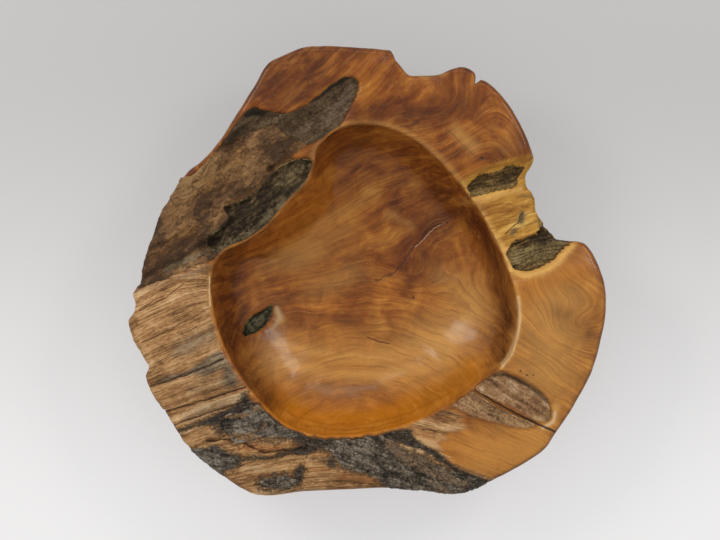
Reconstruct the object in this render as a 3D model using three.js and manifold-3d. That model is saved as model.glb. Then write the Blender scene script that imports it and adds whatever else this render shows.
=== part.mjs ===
// Live edge wooden bowl: one carved block of root wood, with plates of natural bark left in its broad rim.
// Millimetres, +Z up. The origin is the middle of the overall outline, on the flat base.
import * as THREE from "three";
import { mergeVertices } from "three/addons/utils/BufferGeometryUtils.js";
import Module from "manifold-3d";

// Driving dimensions of the block
const BOWL_LENGTH = 450; // overall, along X
const BOWL_WIDTH = 424; // overall, along Y
const BOWL_HEIGHT = 102; // base to the highest part of the rim
const BASE_LENGTH = 216; // flat base, along X
const BASE_WIDTH = 204; // flat base, along Y
const EDGE_ROUND = 6; // rounding of the outer live edge
const EDGE_FALL = 10; // how far the rim drops from the lip to the outer edge
const BELLY_POWER = 1.85; // fullness of the underside: 1 is a straight cone, 2 a quarter ellipse
const EDGE_BLEND = 60; // length of edge over which the notches fade out towards the lip and the base

// Driving dimensions of the basin
const BASIN_LENGTH = 287; // hollow at its lip, along X
const BASIN_WIDTH = 290; // hollow at its lip, along Y
const BASIN_CENTRE_X = -2.5;
const BASIN_CENTRE_Y = -9;
const FLOOR_THICKNESS = 30; // wood under the middle of the basin
const LIP_ROUND = 3; // rounding of the basin's lip
const WALL_POWER = 2.8; // higher keeps the basin floor flat for longer
const WALL_BEND = 0.62; // lower makes the wall steeper at the lip

// Driving dimensions of the bark
const BARK_THICKNESS = 9; // from the bark's face down to the wood that it grew on
const BARK_WRAP = 22; // how far bark at the live edge runs down the side
const BARK_GAP = 0.3; // clearance between a bark plate and the wood or the next plate
const LIP_WIDTH = 3.5; // strip of wood left between the basin's lip and any bark
const BARK_RELIEF = 1.6; // height of the bark's ridges
const BARK_RIDGE = 26; // spacing of the bark's ridges
const RIDGE_RUN = 78; // how far along X a ridge runs before it breaks into the next
const RIDGE_SLOPE = 0.5; // rise of the ridges for each millimetre along X
const KNOT_RECESS = 4; // how far the knot's bark lies below the basin's surface
const INSET_RECESS = 2.5; // how far bark that is enclosed by wood lies below the rim
const POCKET_RECESS = 5; // how far the dark pocket lies below the crust beside it

// Blending shares
const RAMP_OUTSIDE = 1 / 3; // share of a zone's ramp that lies outside its outline
// Shares of the basin's depth over which its round floor takes on the lip's outline
const LIP_SHAPE = { from: 0.1, to: 0.9 };

// Mesh fineness
const COLUMNS_PER_POINT = 2;
const BASIN_SHARES = [0.16, 0.36, 0.55, 0.71, 0.84, 0.93, 0.98];
const RIM_STEPS = 6;
const BELLY_STEPS = 5;
const OUTLINE_STEPS = 2;

// Outlines, in plan. Each is a smooth closed curve through the points that its shape needs. The rim's is
// fitted to BOWL_LENGTH and BOWL_WIDTH and carries the bark's with it, and the lip's is fitted to the
// basin's own sizes.
const RIM_OUTLINE = [
  [226, -36], [224, -10], [215, 13], [205, 26], [197, 28], [184, 29], [175, 37], [165, 48], [160, 57],
  [159, 69], [152, 78], [150, 88], [158, 104], [154, 118], [145, 139], [131, 161], [119, 174], [108, 180],
  [104, 177], [101, 176], [103, 185], [91, 192], [80, 190], [68, 185], [50, 184], [38, 187], [29, 196],
  [28, 203], [22, 208], [-5, 210], [-35, 212], [-58, 211], [-79, 203], [-93, 195], [-106, 174], [-123, 147],
  [-141, 120], [-158, 102], [-168, 94], [-182, 73], [-197, 50], [-206, 25], [-213, 0], [-214, -12],
  [-220, -22], [-218, -31], [-219, -40], [-224, -48], [-221, -62], [-208, -85], [-205, -91], [-208, -100],
  [-203, -114], [-187, -137], [-171, -162], [-150, -182], [-124, -201], [-108, -210], [-92, -212],
  [-55, -208], [-15, -206], [18, -205], [50, -207], [82, -210], [99, -208], [112, -201], [145, -184],
  [168, -168], [179, -152], [196, -126], [211, -98], [221, -66],
];

const LIP_OUTLINE = [
  [141, -45], [139, -24], [132, -2], [121, 24], [112, 42], [98, 64], [84, 83], [68, 101], [48, 119],
  [25, 131], [0, 136], [-20, 134], [-37, 125], [-47, 112], [-50, 97], [-55, 83], [-72, 65], [-92, 42],
  [-113, 27], [-134, 17], [-143, 5], [-146, -15], [-143, -40], [-134, -70], [-119, -98], [-99, -124],
  [-77, -143], [-50, -153], [-20, -154], [15, -149], [50, -138], [82, -121], [106, -102], [124, -91],
  [135, -76],
];

// Zones of the rim that lie lower than the polished lobes: how far they sink, and over what width.
const UPPER_LEFT = {
  sink: 9,
  ramp: 18,
  outline: [
    [-8, 178], [-19, 183], [-38, 171], [-58, 155], [-80, 148], [-98, 152], [-107, 154], [-118, 144],
    [-136, 121], [-154, 101], [-166, 90], [-180, 88], [-204, 62], [-218, 30], [-226, 0], [-228, -18],
    [-212, -18], [-195, -11], [-170, -1], [-150, 7], [-128, 12], [-106, 20], [-84, 37], [-62, 58], [-44, 80],
    [-42, 98], [-52, 105], [-70, 106], [-58, 116], [-40, 124], [-24, 135], [-16, 150], [-9, 166],
  ],
};
const SAPWOOD_HOLLOW = {
  sink: 9,
  ramp: 16,
  outline: [
    [86, 80], [100, 92], [130, 103], [162, 108], [172, 70], [186, 46], [201, 34], [190, 18], [170, 0],
    [150, -8], [134, -9], [115, 20], [98, 55],
  ],
};
const BOTTOM = {
  sink: 5,
  ramp: 16,
  outline: [
    [117, -198], [98, -192], [80, -186], [62, -177], [42, -168], [28, -160], [24, -148], [8, -142],
    [-16, -146], [-44, -144], [-58, -150], [-52, -160], [-34, -170], [-26, -181], [-10, -188], [6, -192],
    [16, -199], [26, -214], [70, -219], [102, -217], [120, -206],
  ],
};
const LOWER_LEFT = {
  sink: 4,
  ramp: 14,
  outline: [
    [-64, -151], [-72, -137], [-92, -121], [-106, -124], [-119, -129], [-133, -137], [-139, -147],
    [-133, -155], [-118, -162], [-100, -159], [-80, -158], [-66, -157],
  ],
};
const LEFT_EDGE = {
  sink: 2,
  ramp: 10,
  outline: [
    [-154, -166], [-140, -165], [-128, -171], [-117, -178], [-123, -185], [-134, -192], [-140, -204],
    [-164, -190], [-174, -174], [-164, -167],
  ],
};
const BOTTOM_LEFT = {
  sink: 1,
  ramp: 8,
  outline: [[-102, -198], [-90, -193], [-74, -192], [-62, -197], [-66, -203], [-86, -205], [-99, -203]],
};
const STRIP_OUTER = {
  sink: 2,
  ramp: 10,
  outline: [
    [107, -97], [116, -93], [130, -95], [148, -103], [163, -114], [171, -126], [167, -137], [152, -140],
    [136, -134], [118, -121], [103, -110],
  ],
};
const STRIP_INNER = {
  sink: 2,
  ramp: 10,
  outline: [
    [97, -110], [112, -121], [130, -134], [148, -145], [138, -149], [120, -143], [104, -137], [88, -131],
    [77, -126], [84, -119],
  ],
};
const SINKING_ZONES = [
  UPPER_LEFT, SAPWOOD_HOLLOW, BOTTOM, LOWER_LEFT, LEFT_EDGE, BOTTOM_LEFT, STRIP_OUTER, STRIP_INNER,
];

// Bark that is let into the sapwood hollow and into the basin's wall, where the wood round it doesn't sink.
const RIGHT_UPPER = [
  [92, 74], [97, 83], [107, 90], [122, 94], [134, 99], [141, 96], [144, 90], [140, 81], [126, 75], [108, 70],
  [96, 69],
];
const RIGHT_LOWER = [
  [130, 16], [138, 28], [154, 33], [164, 41], [172, 54], [188, 44], [195, 31], [185, 20], [176, 10], [164, 3],
  [148, -1], [137, 1], [134, 9],
];
const KNOT = [[-115, -58], [-108, -47], [-99, -39], [-91, -36], [-92, -44], [-98, -54], [-107, -60]];

// Cracks that part the upper left bark into three plates: the grey fold, the dark pocket and the crust
// between them.
const FOLD_PART = [
  [6, 196], [-30, 194], [-100, 170], [-130, 152], [-146, 128], [-131, 121], [-117, 127], [-100, 133],
  [-86, 136], [-78, 130], [-66, 123], [-54, 118], [-36, 120], [-14, 130], [2, 152],
];
const POCKET_PART = [
  [-36, 112], [-71, 103], [-83, 97], [-92, 86], [-104, 74], [-118, 66], [-134, 60], [-130, 50], [-138, 40],
  [-151, 31], [-147, 21], [-125, 10], [-98, 16], [-56, 52], [-34, 86],
];

const smooth = THREE.MathUtils.smoothstep;
const lerp = THREE.MathUtils.lerp;

// Points along a closed smooth curve through the given plan points.
function closedCurve(points, stepsPerPoint) {
  const curve = new THREE.CatmullRomCurve3(
    points.map(([x, y]) => new THREE.Vector3(x, y, 0)),
    true,
    "centripetal",
  );
  return curve.getPoints(points.length * stepsPerPoint).slice(0, -1).map((p) => new THREE.Vector2(p.x, p.y));
}

// The move and stretch that gives an outline the stated length and width about the stated centre.
function fitting(curve, length, width, centreX, centreY) {
  const box = new THREE.Box2().setFromPoints(curve);
  const size = box.getSize(new THREE.Vector2());
  const middle = box.getCenter(new THREE.Vector2());
  return (p) =>
    new THREE.Vector2(
      centreX + ((p.x - middle.x) * length) / size.x,
      centreY + ((p.y - middle.y) * width) / size.y,
    );
}

// Distance inside a closed outline, negative outside it.
function insideDistance(outline, x, y) {
  let nearest = Infinity;
  let inside = false;
  outline.forEach((a, i) => {
    const b = outline[(i + 1) % outline.length];
    const along = THREE.MathUtils.clamp(
      ((x - a.x) * (b.x - a.x) + (y - a.y) * (b.y - a.y)) / a.distanceToSquared(b),
      0,
      1,
    );
    nearest = Math.min(nearest, Math.hypot(x - lerp(a.x, b.x, along), y - lerp(a.y, b.y, along)));
    if (a.y > y !== b.y > y && x < a.x + ((y - a.y) * (b.x - a.x)) / (b.y - a.y)) inside = !inside;
  });
  return inside ? nearest : -nearest;
}

// The outline moved outwards by a clearance, or inwards by a negative one.
function offsetOutline(outline, distance) {
  const turn = THREE.ShapeUtils.isClockWise(outline) ? -1 : 1;
  return outline.map((p, i) => {
    const before = outline[(i + outline.length - 1) % outline.length];
    const after = outline[(i + 1) % outline.length];
    const along = after.clone().sub(before).normalize();
    return new THREE.Vector2(p.x + turn * along.y * distance, p.y - turn * along.x * distance);
  });
}

const rawRim = closedCurve(RIM_OUTLINE, COLUMNS_PER_POINT);
const toPlan = fitting(rawRim, BOWL_LENGTH, BOWL_WIDTH, 0, 0);
const rim = rawRim.map(toPlan);
const rawLip = closedCurve(LIP_OUTLINE, OUTLINE_STEPS);
const lip = rawLip.map(fitting(rawLip, BASIN_LENGTH, BASIN_WIDTH, BASIN_CENTRE_X, BASIN_CENTRE_Y));
const centre = new THREE.Vector2(BASIN_CENTRE_X, BASIN_CENTRE_Y);
const planOutline = (points) => closedCurve(points, OUTLINE_STEPS).map(toPlan);
const zones = new Map(SINKING_ZONES.map((zone) => [zone, planOutline(zone.outline)]));

// Where a ray from the basin's centre towards a point crosses the lip.
function lipTowards(point) {
  const ray = point.clone().sub(centre).normalize();
  let reach = 0;
  lip.forEach((a, i) => {
    const side = lip[(i + 1) % lip.length].clone().sub(a);
    const toSide = a.clone().sub(centre);
    const cross = ray.cross(side);
    if (Math.abs(cross) < 1e-9) return;
    const along = toSide.cross(ray) / cross;
    const distance = toSide.cross(side) / cross;
    if (along >= 0 && along <= 1 && distance > 0) reach = Math.max(reach, distance);
  });
  return reach;
}

// One column of the loft for each point of the rim: its way out from the basin's centre, and where it meets
// the lip, the edge and the base.
const columns = rim.map((edge) => {
  const out = edge.clone().sub(centre).normalize();
  const baseReach = 1 / Math.hypot(out.x / (BASE_LENGTH / 2), out.y / (BASE_WIDTH / 2));
  return { out, lipReach: lipTowards(edge), edgeReach: edge.distanceTo(centre), baseReach };
});
const mean = (numbers) => numbers.reduce((sum, number) => sum + number, 0) / numbers.length;
const roundReach = mean(columns.map((column) => column.lipReach));

// The edge's reach without its small notches, so that they don't run on as creases across the rim and the
// underside.
columns.forEach((column, i) => {
  const near = columns.filter((_, j) => rim[i].distanceTo(rim[j]) < EDGE_BLEND / 2);
  column.evenReach = mean(near.map((neighbour) => neighbour.edgeReach));
});

const place = (column, reach, z) =>
  new THREE.Vector3(centre.x + column.out.x * reach, centre.y + column.out.y * reach, z);

// Height of the rim at a reach from the basin's centre.
function rimHeight(column, reach, relief) {
  const { x, y } = place(column, reach, 0);
  const start = column.lipReach + LIP_ROUND;
  const share = (reach - start) / (column.evenReach - start);
  const across = (y - RIDGE_SLOPE * x) / BARK_RIDGE;
  const ridge = Math.sin(2 * Math.PI * across) * Math.cos((2 * Math.PI * x) / RIDGE_RUN);
  let height = BOWL_HEIGHT - EDGE_FALL * share ** 2;
  for (const [zone, outline] of zones) {
    const sunk = smooth(insideDistance(outline, x, y), -zone.ramp * RAMP_OUTSIDE, zone.ramp);
    height -= zone.sink * sunk;
    height += relief * sunk * ridge;
  }
  return height;
}

// Rings of the bowl's upper side, from the middle of the basin to the top of the edge, lowered by a depth
// and drawn in at the edge by the same depth.
function upperRings(depth, relief) {
  const lipHeight = (column) => rimHeight(column, column.lipReach + LIP_ROUND, relief) - depth;
  const basin = BASIN_SHARES.map((share) =>
    columns.map((column) => {
      const own = smooth(share, LIP_SHAPE.from, LIP_SHAPE.to);
      const reach = share * lerp(roundReach, column.lipReach, own);
      const rise = 1 - (1 - share ** WALL_POWER) ** WALL_BEND;
      const floor = FLOOR_THICKNESS - depth;
      return place(column, reach, lerp(floor, lipHeight(column) - LIP_ROUND, rise));
    }),
  );
  const lipRings = [0, Math.PI / 4, Math.PI / 2].map((angle) =>
    columns.map((column) =>
      place(
        column,
        column.lipReach + LIP_ROUND * (1 - Math.cos(angle)),
        lipHeight(column) - LIP_ROUND * (1 - Math.sin(angle)),
      ),
    ),
  );
  const rimRings = Array.from({ length: RIM_STEPS }, (_, i) =>
    columns.map((column) => {
      const share = (i + 1) / RIM_STEPS;
      const reach = lerp(column.lipReach + LIP_ROUND, column.edgeReach - EDGE_ROUND - depth, share);
      return place(column, reach, rimHeight(column, reach, relief) - depth);
    }),
  );
  return [...basin, ...lipRings, ...rimRings];
}

// A closed skin over rings that share their columns, with a middle point at each end.
function loft(rings, firstMiddle, lastMiddle) {
  const count = columns.length;
  const points = [...rings.flat(), firstMiddle, lastMiddle];
  const first = points.length - 2;
  const last = points.length - 1;
  const faces = [];
  for (let i = 0; i < count; i++) {
    const next = (i + 1) % count;
    faces.push(first, i, next);
    for (let ring = 0; ring + 1 < rings.length; ring++) {
      const here = ring * count;
      const there = here + count;
      faces.push(here + i, there + i, there + next, here + i, there + next, here + next);
    }
    const end = (rings.length - 1) * count;
    faces.push(last, end + next, end + i);
  }
  const geometry = new THREE.BufferGeometry().setFromPoints(points);
  geometry.setIndex(faces);
  return geometry;
}

// The whole bowl as one block, wood and bark together.
function blockGeometry() {
  const upper = upperRings(0, BARK_RELIEF);
  const edgeTop = upper.at(-1);
  const edge = [Math.PI / 4, 0].map((angle) =>
    columns.map((column, i) =>
      place(
        column,
        column.edgeReach - EDGE_ROUND * (1 - Math.cos(angle)),
        edgeTop[i].z - EDGE_ROUND * (1 - Math.sin(angle)),
      ),
    ),
  );
  const belly = Array.from({ length: BELLY_STEPS }, (_, i) =>
    columns.map((column, c) => {
      const share = (i + 1) / BELLY_STEPS;
      const turn = (share * Math.PI) / 2;
      const inwards = 1 - Math.cos(turn) ** (2 / BELLY_POWER);
      const height = 1 - Math.sin(turn) ** (2 / BELLY_POWER);
      const outer = lerp(column.edgeReach, column.evenReach, share);
      return place(column, lerp(outer, column.baseReach, inwards), edge[1][c].z * height);
    }),
  );
  belly.at(-1).forEach((point) => point.setZ(0));
  return loft(
    [...upper, ...edge, ...belly],
    new THREE.Vector3(centre.x, centre.y, FLOOR_THICKNESS),
    new THREE.Vector3(centre.x, centre.y, 0),
  );
}

// Everything that lies a depth or more below the bowl's upper side. It reaches past the block below and
// outside, so what is left of the block above it is a layer of that depth that wraps over the live edge.
function coreGeometry(depth) {
  const upper = upperRings(depth, 0);
  const edgeTop = upper.at(-1);
  const below = -BOWL_HEIGHT;
  const flare = columns.map((column, i) =>
    place(column, column.edgeReach + BARK_WRAP, edgeTop[i].z - BARK_WRAP),
  );
  const foot = columns.map((column) => place(column, column.edgeReach + BARK_WRAP, below));
  return loft(
    [...upper, flare, foot],
    new THREE.Vector3(centre.x, centre.y, FLOOR_THICKNESS - depth),
    new THREE.Vector3(centre.x, centre.y, below),
  );
}

// An outline drawn straight up through the whole bowl.
function prismGeometry(outline) {
  const tall = 2 * BOWL_HEIGHT;
  const shape = new THREE.Shape(outline);
  const geometry = new THREE.ExtrudeGeometry(shape, { depth: tall, bevelEnabled: false });
  return geometry.translate(0, 0, -BOWL_HEIGHT / 2);
}

const wasm = await Module();
wasm.setup();

function toSolid(geometry) {
  const bare = geometry.clone();
  bare.deleteAttribute("normal");
  bare.deleteAttribute("uv");
  const merged = mergeVertices(bare);
  return new wasm.Manifold(
    new wasm.Mesh({
      numProp: 3,
      vertProperties: merged.attributes.position.array,
      triVerts: new Uint32Array(merged.index.array),
    }),
  );
}

function toGeometry(solid) {
  const mesh = solid.getMesh();
  const geometry = new THREE.BufferGeometry();
  geometry.setAttribute("position", new THREE.BufferAttribute(mesh.vertProperties, mesh.numProp));
  geometry.setIndex(new THREE.BufferAttribute(mesh.triVerts, 1));
  geometry.computeVertexNormals();
  return geometry;
}

const prism = (outline, clearance = 0) => toSolid(prismGeometry(offsetOutline(outline, clearance)));
const block = toSolid(blockGeometry());
const barkBed = toSolid(coreGeometry(BARK_THICKNESS));
const pocketBed = toSolid(coreGeometry(BARK_THICKNESS + BARK_GAP));
const lipKeep = prism(lip, LIP_WIDTH);
const lipKeepWide = prism(lip, LIP_WIDTH + BARK_GAP);

// The bark within an outline, lying recess below the rim, and the pocket in the wood that it sits in.
function barkOf(points, recess = 0, inBasin = false) {
  const outline = planOutline(points);
  const face = recess ? toSolid(coreGeometry(recess)).intersect(block) : block;
  const bark = face.intersect(prism(outline, -BARK_GAP)).subtract(barkBed);
  return inBasin ? bark : bark.subtract(lipKeepWide);
}

function pocketOf(points, inBasin = false) {
  const cut = prism(planOutline(points)).subtract(pocketBed);
  return inBasin ? cut : cut.subtract(lipKeep);
}

// The upper left bark is parted along its cracks.
const upperLeft = barkOf(UPPER_LEFT.outline);
const fold = planOutline(FOLD_PART);
const pocket = planOutline(POCKET_PART);
const parted = upperLeft.subtract(prism(fold, BARK_GAP)).subtract(prism(pocket, BARK_GAP));
const largest = (solid) => solid.decompose().reduce((a, b) => (a.volume() > b.volume() ? a : b));

const barkPlates = {
  bark_crust_upper_left: largest(parted),
  bark_fold_upper_left: largest(upperLeft.intersect(prism(fold))),
  bark_pocket_upper_left: largest(barkOf(UPPER_LEFT.outline, POCKET_RECESS).intersect(prism(pocket))),
  bark_inset_right_upper: largest(barkOf(RIGHT_UPPER, INSET_RECESS)),
  bark_inset_right_lower: largest(barkOf(RIGHT_LOWER)),
  bark_strip_lower_right_outer: largest(barkOf(STRIP_OUTER.outline, INSET_RECESS)),
  bark_strip_lower_right_inner: largest(barkOf(STRIP_INNER.outline, INSET_RECESS)),
  bark_crust_bottom: largest(barkOf(BOTTOM.outline)),
  bark_crust_lower_left: largest(barkOf(LOWER_LEFT.outline)),
  bark_plate_left_edge: largest(barkOf(LEFT_EDGE.outline)),
  bark_plate_bottom_left: largest(barkOf(BOTTOM_LEFT.outline)),
  bark_knot_basin: largest(barkOf(KNOT, KNOT_RECESS, true)),
};

// The sapwood hollow is bare, so every other sinking zone has a pocket for its bark.
const barkZones = SINKING_ZONES.filter((zone) => zone !== SAPWOOD_HOLLOW).map((zone) => zone.outline);
const pockets = [...barkZones, RIGHT_UPPER, RIGHT_LOWER].map((points) => pocketOf(points));
const wood = [...pockets, pocketOf(KNOT, true)].reduce((solid, cut) => solid.subtract(cut), block);

const WOOD_MATERIAL = { color: 0xa2612f, roughness: 0.32, metalness: 0 };
const BARK_ROUGHNESS = 0.85;
const BARK_COLOURS = {
  bark_crust_upper_left: 0x6b5238,
  bark_fold_upper_left: 0x55493a,
  bark_pocket_upper_left: 0x2f2a20,
  bark_inset_right_upper: 0x3f372a,
  bark_inset_right_lower: 0x453b2c,
  bark_strip_lower_right_outer: 0x705338,
  bark_strip_lower_right_inner: 0x7a5738,
  bark_crust_bottom: 0x332f2a,
  bark_crust_lower_left: 0x4d453b,
  bark_plate_left_edge: 0x453d33,
  bark_plate_bottom_left: 0x3d352c,
  bark_knot_basin: 0x2c2a1c,
};

const bowl = new THREE.Group();
bowl.name = "live_edge_bowl";

function addPiece(name, solid, look) {
  const mesh = new THREE.Mesh(toGeometry(solid), new THREE.MeshStandardMaterial(look));
  mesh.name = name;
  bowl.add(mesh);
}

addPiece("wood_body", largest(wood), WOOD_MATERIAL);
for (const [name, solid] of Object.entries(barkPlates)) {
  addPiece(name, solid, { color: BARK_COLOURS[name], roughness: BARK_ROUGHNESS, metalness: 0 });
}

export default bowl;
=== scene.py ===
"""Live edge wooden bowl: the looks of a carved root-wood bowl with bark left in its broad rim.

Sizes are in millimetres, in plan seen from above, and become metres when a mesh is made.
"""
from __future__ import annotations

import logging
import math
from dataclasses import dataclass, field
from enum import Enum
from functools import partial

import bpy
import numpy as np
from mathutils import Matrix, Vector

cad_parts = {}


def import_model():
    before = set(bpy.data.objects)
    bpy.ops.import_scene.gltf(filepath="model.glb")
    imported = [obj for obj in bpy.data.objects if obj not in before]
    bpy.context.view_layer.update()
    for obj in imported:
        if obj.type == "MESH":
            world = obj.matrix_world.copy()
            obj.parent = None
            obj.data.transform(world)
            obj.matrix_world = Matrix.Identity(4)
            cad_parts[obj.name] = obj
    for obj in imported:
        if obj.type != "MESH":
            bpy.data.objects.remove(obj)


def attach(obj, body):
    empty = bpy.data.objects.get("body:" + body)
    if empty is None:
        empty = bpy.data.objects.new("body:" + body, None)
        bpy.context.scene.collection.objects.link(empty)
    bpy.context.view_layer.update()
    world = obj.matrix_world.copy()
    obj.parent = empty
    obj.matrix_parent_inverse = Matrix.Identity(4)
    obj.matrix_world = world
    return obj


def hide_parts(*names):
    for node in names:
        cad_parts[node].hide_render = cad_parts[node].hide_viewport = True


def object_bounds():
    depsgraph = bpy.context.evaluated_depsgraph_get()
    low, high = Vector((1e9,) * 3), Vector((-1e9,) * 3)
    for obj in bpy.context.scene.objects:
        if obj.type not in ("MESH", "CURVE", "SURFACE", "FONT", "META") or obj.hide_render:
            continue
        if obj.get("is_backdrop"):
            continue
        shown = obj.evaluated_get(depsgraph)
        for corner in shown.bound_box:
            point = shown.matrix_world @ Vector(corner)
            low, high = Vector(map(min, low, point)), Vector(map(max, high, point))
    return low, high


log = logging.getLogger("bowl")
Array = np.ndarray
Points = list[tuple[float, float]]
Tint = tuple[Points, float, float]
Socket = bpy.types.NodeSocket
MM = 0.001
FAR = 40.0
BODY = "root"

# Plan outlines of the carved form: the live edge and the basin's lip
RIM_OUTLINE: Points = [
    (226, -36), (224, -10), (215, 13), (205, 26), (197, 28), (184, 29), (175, 37), (165, 48), (160, 57),
    (159, 69), (152, 78), (150, 88), (158, 104), (154, 118), (145, 139), (131, 161), (119, 174), (108, 180),
    (104, 177), (101, 176), (103, 185), (91, 192), (80, 190), (68, 185), (50, 184), (41, 184), (38, 185.5),
    (32, 193), (27, 199), (25.5, 203), (24.5, 206.5), (22, 208), (18, 208.6), (-5, 210), (-35, 212),
    (-58, 211), (-79, 203), (-93, 195), (-106, 174), (-123, 147), (-141, 120), (-158, 102), (-168, 94),
    (-182, 73), (-197, 50), (-206, 25), (-213, 0), (-214, -12),
    (-220, -22), (-218, -31), (-219, -40), (-224, -48), (-221, -62), (-208, -85), (-205, -91), (-208, -100),
    (-203, -114), (-187, -137), (-171, -162), (-150, -182), (-124, -201), (-108, -210), (-92, -212),
    (-55, -208), (-15, -206), (18, -205), (50, -207), (82, -210), (99, -208), (112, -201), (145, -184),
    (168, -168), (179, -152), (196, -126), (211, -98), (221, -66),
]
LIP_OUTLINE: Points = [
    (141, -45), (139, -24), (132, -2), (121, 24), (112, 42), (98, 64), (84, 83), (68, 101), (48, 119),
    (25, 131), (0, 136), (-20, 134), (-37, 125), (-47, 112), (-50, 97), (-55, 83), (-72, 65), (-92, 42),
    (-113, 27), (-134, 17), (-143, 5), (-146, -15), (-143, -40), (-134, -70), (-119, -98), (-99, -124),
    (-77, -143), (-50, -153), (-20, -154), (15, -149), (50, -138), (82, -121), (106, -102), (124, -91),
    (135, -76),
]

# Plan outlines of the bark and of the bare sapwood hollow
UPPER_LEFT: Points = [
    (-8, 178), (-19, 183), (-38, 171), (-58, 155), (-80, 148), (-98, 152), (-107, 154), (-118, 144),
    (-136, 121), (-154, 101), (-166, 90), (-180, 88), (-204, 62), (-218, 30), (-226, 0), (-228, -18),
    (-212, -18), (-195, -11), (-170, -1), (-150, 7), (-128, 12), (-106, 20), (-84, 37), (-62, 58), (-44, 80),
    (-42, 98), (-52, 105), (-70, 106), (-58, 116), (-40, 124), (-24, 135), (-16, 150), (-9, 166),
]
FOLD_PART: Points = [
    (6, 196), (-30, 194), (-100, 170), (-130, 152), (-146, 128), (-131, 121), (-117, 127), (-100, 133),
    (-86, 136), (-78, 130), (-66, 123), (-54, 118), (-36, 120), (-14, 130), (2, 152),
]
POCKET_PART: Points = [
    (-36, 112), (-71, 103), (-83, 97), (-92, 86), (-104, 74), (-118, 66), (-134, 60), (-130, 50), (-138, 40),
    (-151, 31), (-147, 21), (-125, 10), (-98, 16), (-56, 52), (-34, 86),
]
SAPWOOD_HOLLOW: Points = [
    (86, 80), (100, 92), (130, 103), (162, 108), (172, 70), (186, 46), (201, 34), (190, 18), (170, 0),
    (150, -8), (134, -9), (115, 20), (98, 55),
]
RIGHT_UPPER: Points = [
    (91, 73), (96, 82), (107, 90), (122, 93), (135, 99), (142, 98), (150, 97), (144, 88), (141, 79),
    (126, 75), (108, 70), (95, 68),
]
RIGHT_LOWER: Points = [
    (130, 16), (138, 28), (154, 33), (164, 41), (172, 54), (188, 44), (195, 31), (185, 20), (176, 10),
    (164, 3), (148, -1), (137, 1), (134, 9),
]
STRIP_OUTER: Points = [
    (107, -97), (116, -93), (130, -95), (148, -103), (163, -114), (172, -127), (172, -141), (160, -142),
    (140, -131), (118, -120), (100, -110),
]
STRIP_INNER: Points = [
    (94, -111), (116, -123), (138, -134.5), (160, -145), (146, -149), (120, -143), (104, -139), (88, -132),
    (75, -126), (83, -118),
]
BOTTOM: Points = [
    (117, -198), (98, -192), (80, -186), (62, -177), (42, -168), (28, -160), (24, -148), (8, -142),
    (-16, -146), (-44, -144), (-58, -150), (-52, -160), (-34, -170), (-26, -181), (-10, -188), (6, -192),
    (16, -199), (26, -214), (70, -219), (102, -217), (120, -206),
]
LOWER_LEFT: Points = [
    (-64, -151), (-72, -137), (-92, -121), (-106, -124), (-119, -129), (-133, -137), (-139, -147),
    (-133, -155), (-118, -162), (-100, -159), (-80, -158), (-66, -157),
]
LEFT_EDGE: Points = [
    (-154, -166), (-140, -165), (-128, -171), (-117, -178), (-123, -185), (-134, -192), (-140, -204),
    (-164, -190), (-174, -174), (-164, -167),
]
BOTTOM_LEFT: Points = [
    (-102, -198), (-90, -193), (-74, -192), (-62, -197), (-66, -203), (-86, -205), (-99, -203),
]
KNOT: Points = [
    (-117, -59), (-114, -49), (-108, -42), (-99, -37), (-90, -33), (-90, -41), (-94, -50), (-100, -57),
    (-108, -62), (-114, -63),
]
WEATHERED: Points = [
    (-222, -15), (-180, -3), (-150, 8), (-146, -15), (-143, -41), (-134, -72), (-119, -100), (-99, -126),
    (-77, -145), (-50, -155), (-20, -156), (15, -151), (50, -140), (72, -128), (90, -136), (92, -146),
    (76, -152), (68, -164), (84, -182), (116, -196), (128, -212), (100, -240), (20, -236), (-60, -240),
    (-120, -242), (-176, -210), (-206, -170), (-236, -120), (-254, -55), (-250, -20),
]


class Stain(Enum):
    """What a soft stain, or a soft band of painted shade or painted sheen, does to the wood or the bark
    under it.
    """

    HEART = "heart"
    BASIN_SHADE_AND_HEART = "deep"
    HONEY = "honey"
    PALE_AND_SHEEN = "pale"
    GREY = "grey"
    RUST = "rust"
    SOOT = "soot"
    FLAKE = "flake"
    DUST_AND_GLINTS = "dust"
    SHADE_AND_HOLLOW = "hollow"


# How far the borders of stains wander, and the size of a swell of that wander
STAIN_WANDER = 2.0
STAIN_SWELL = 9.0
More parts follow.
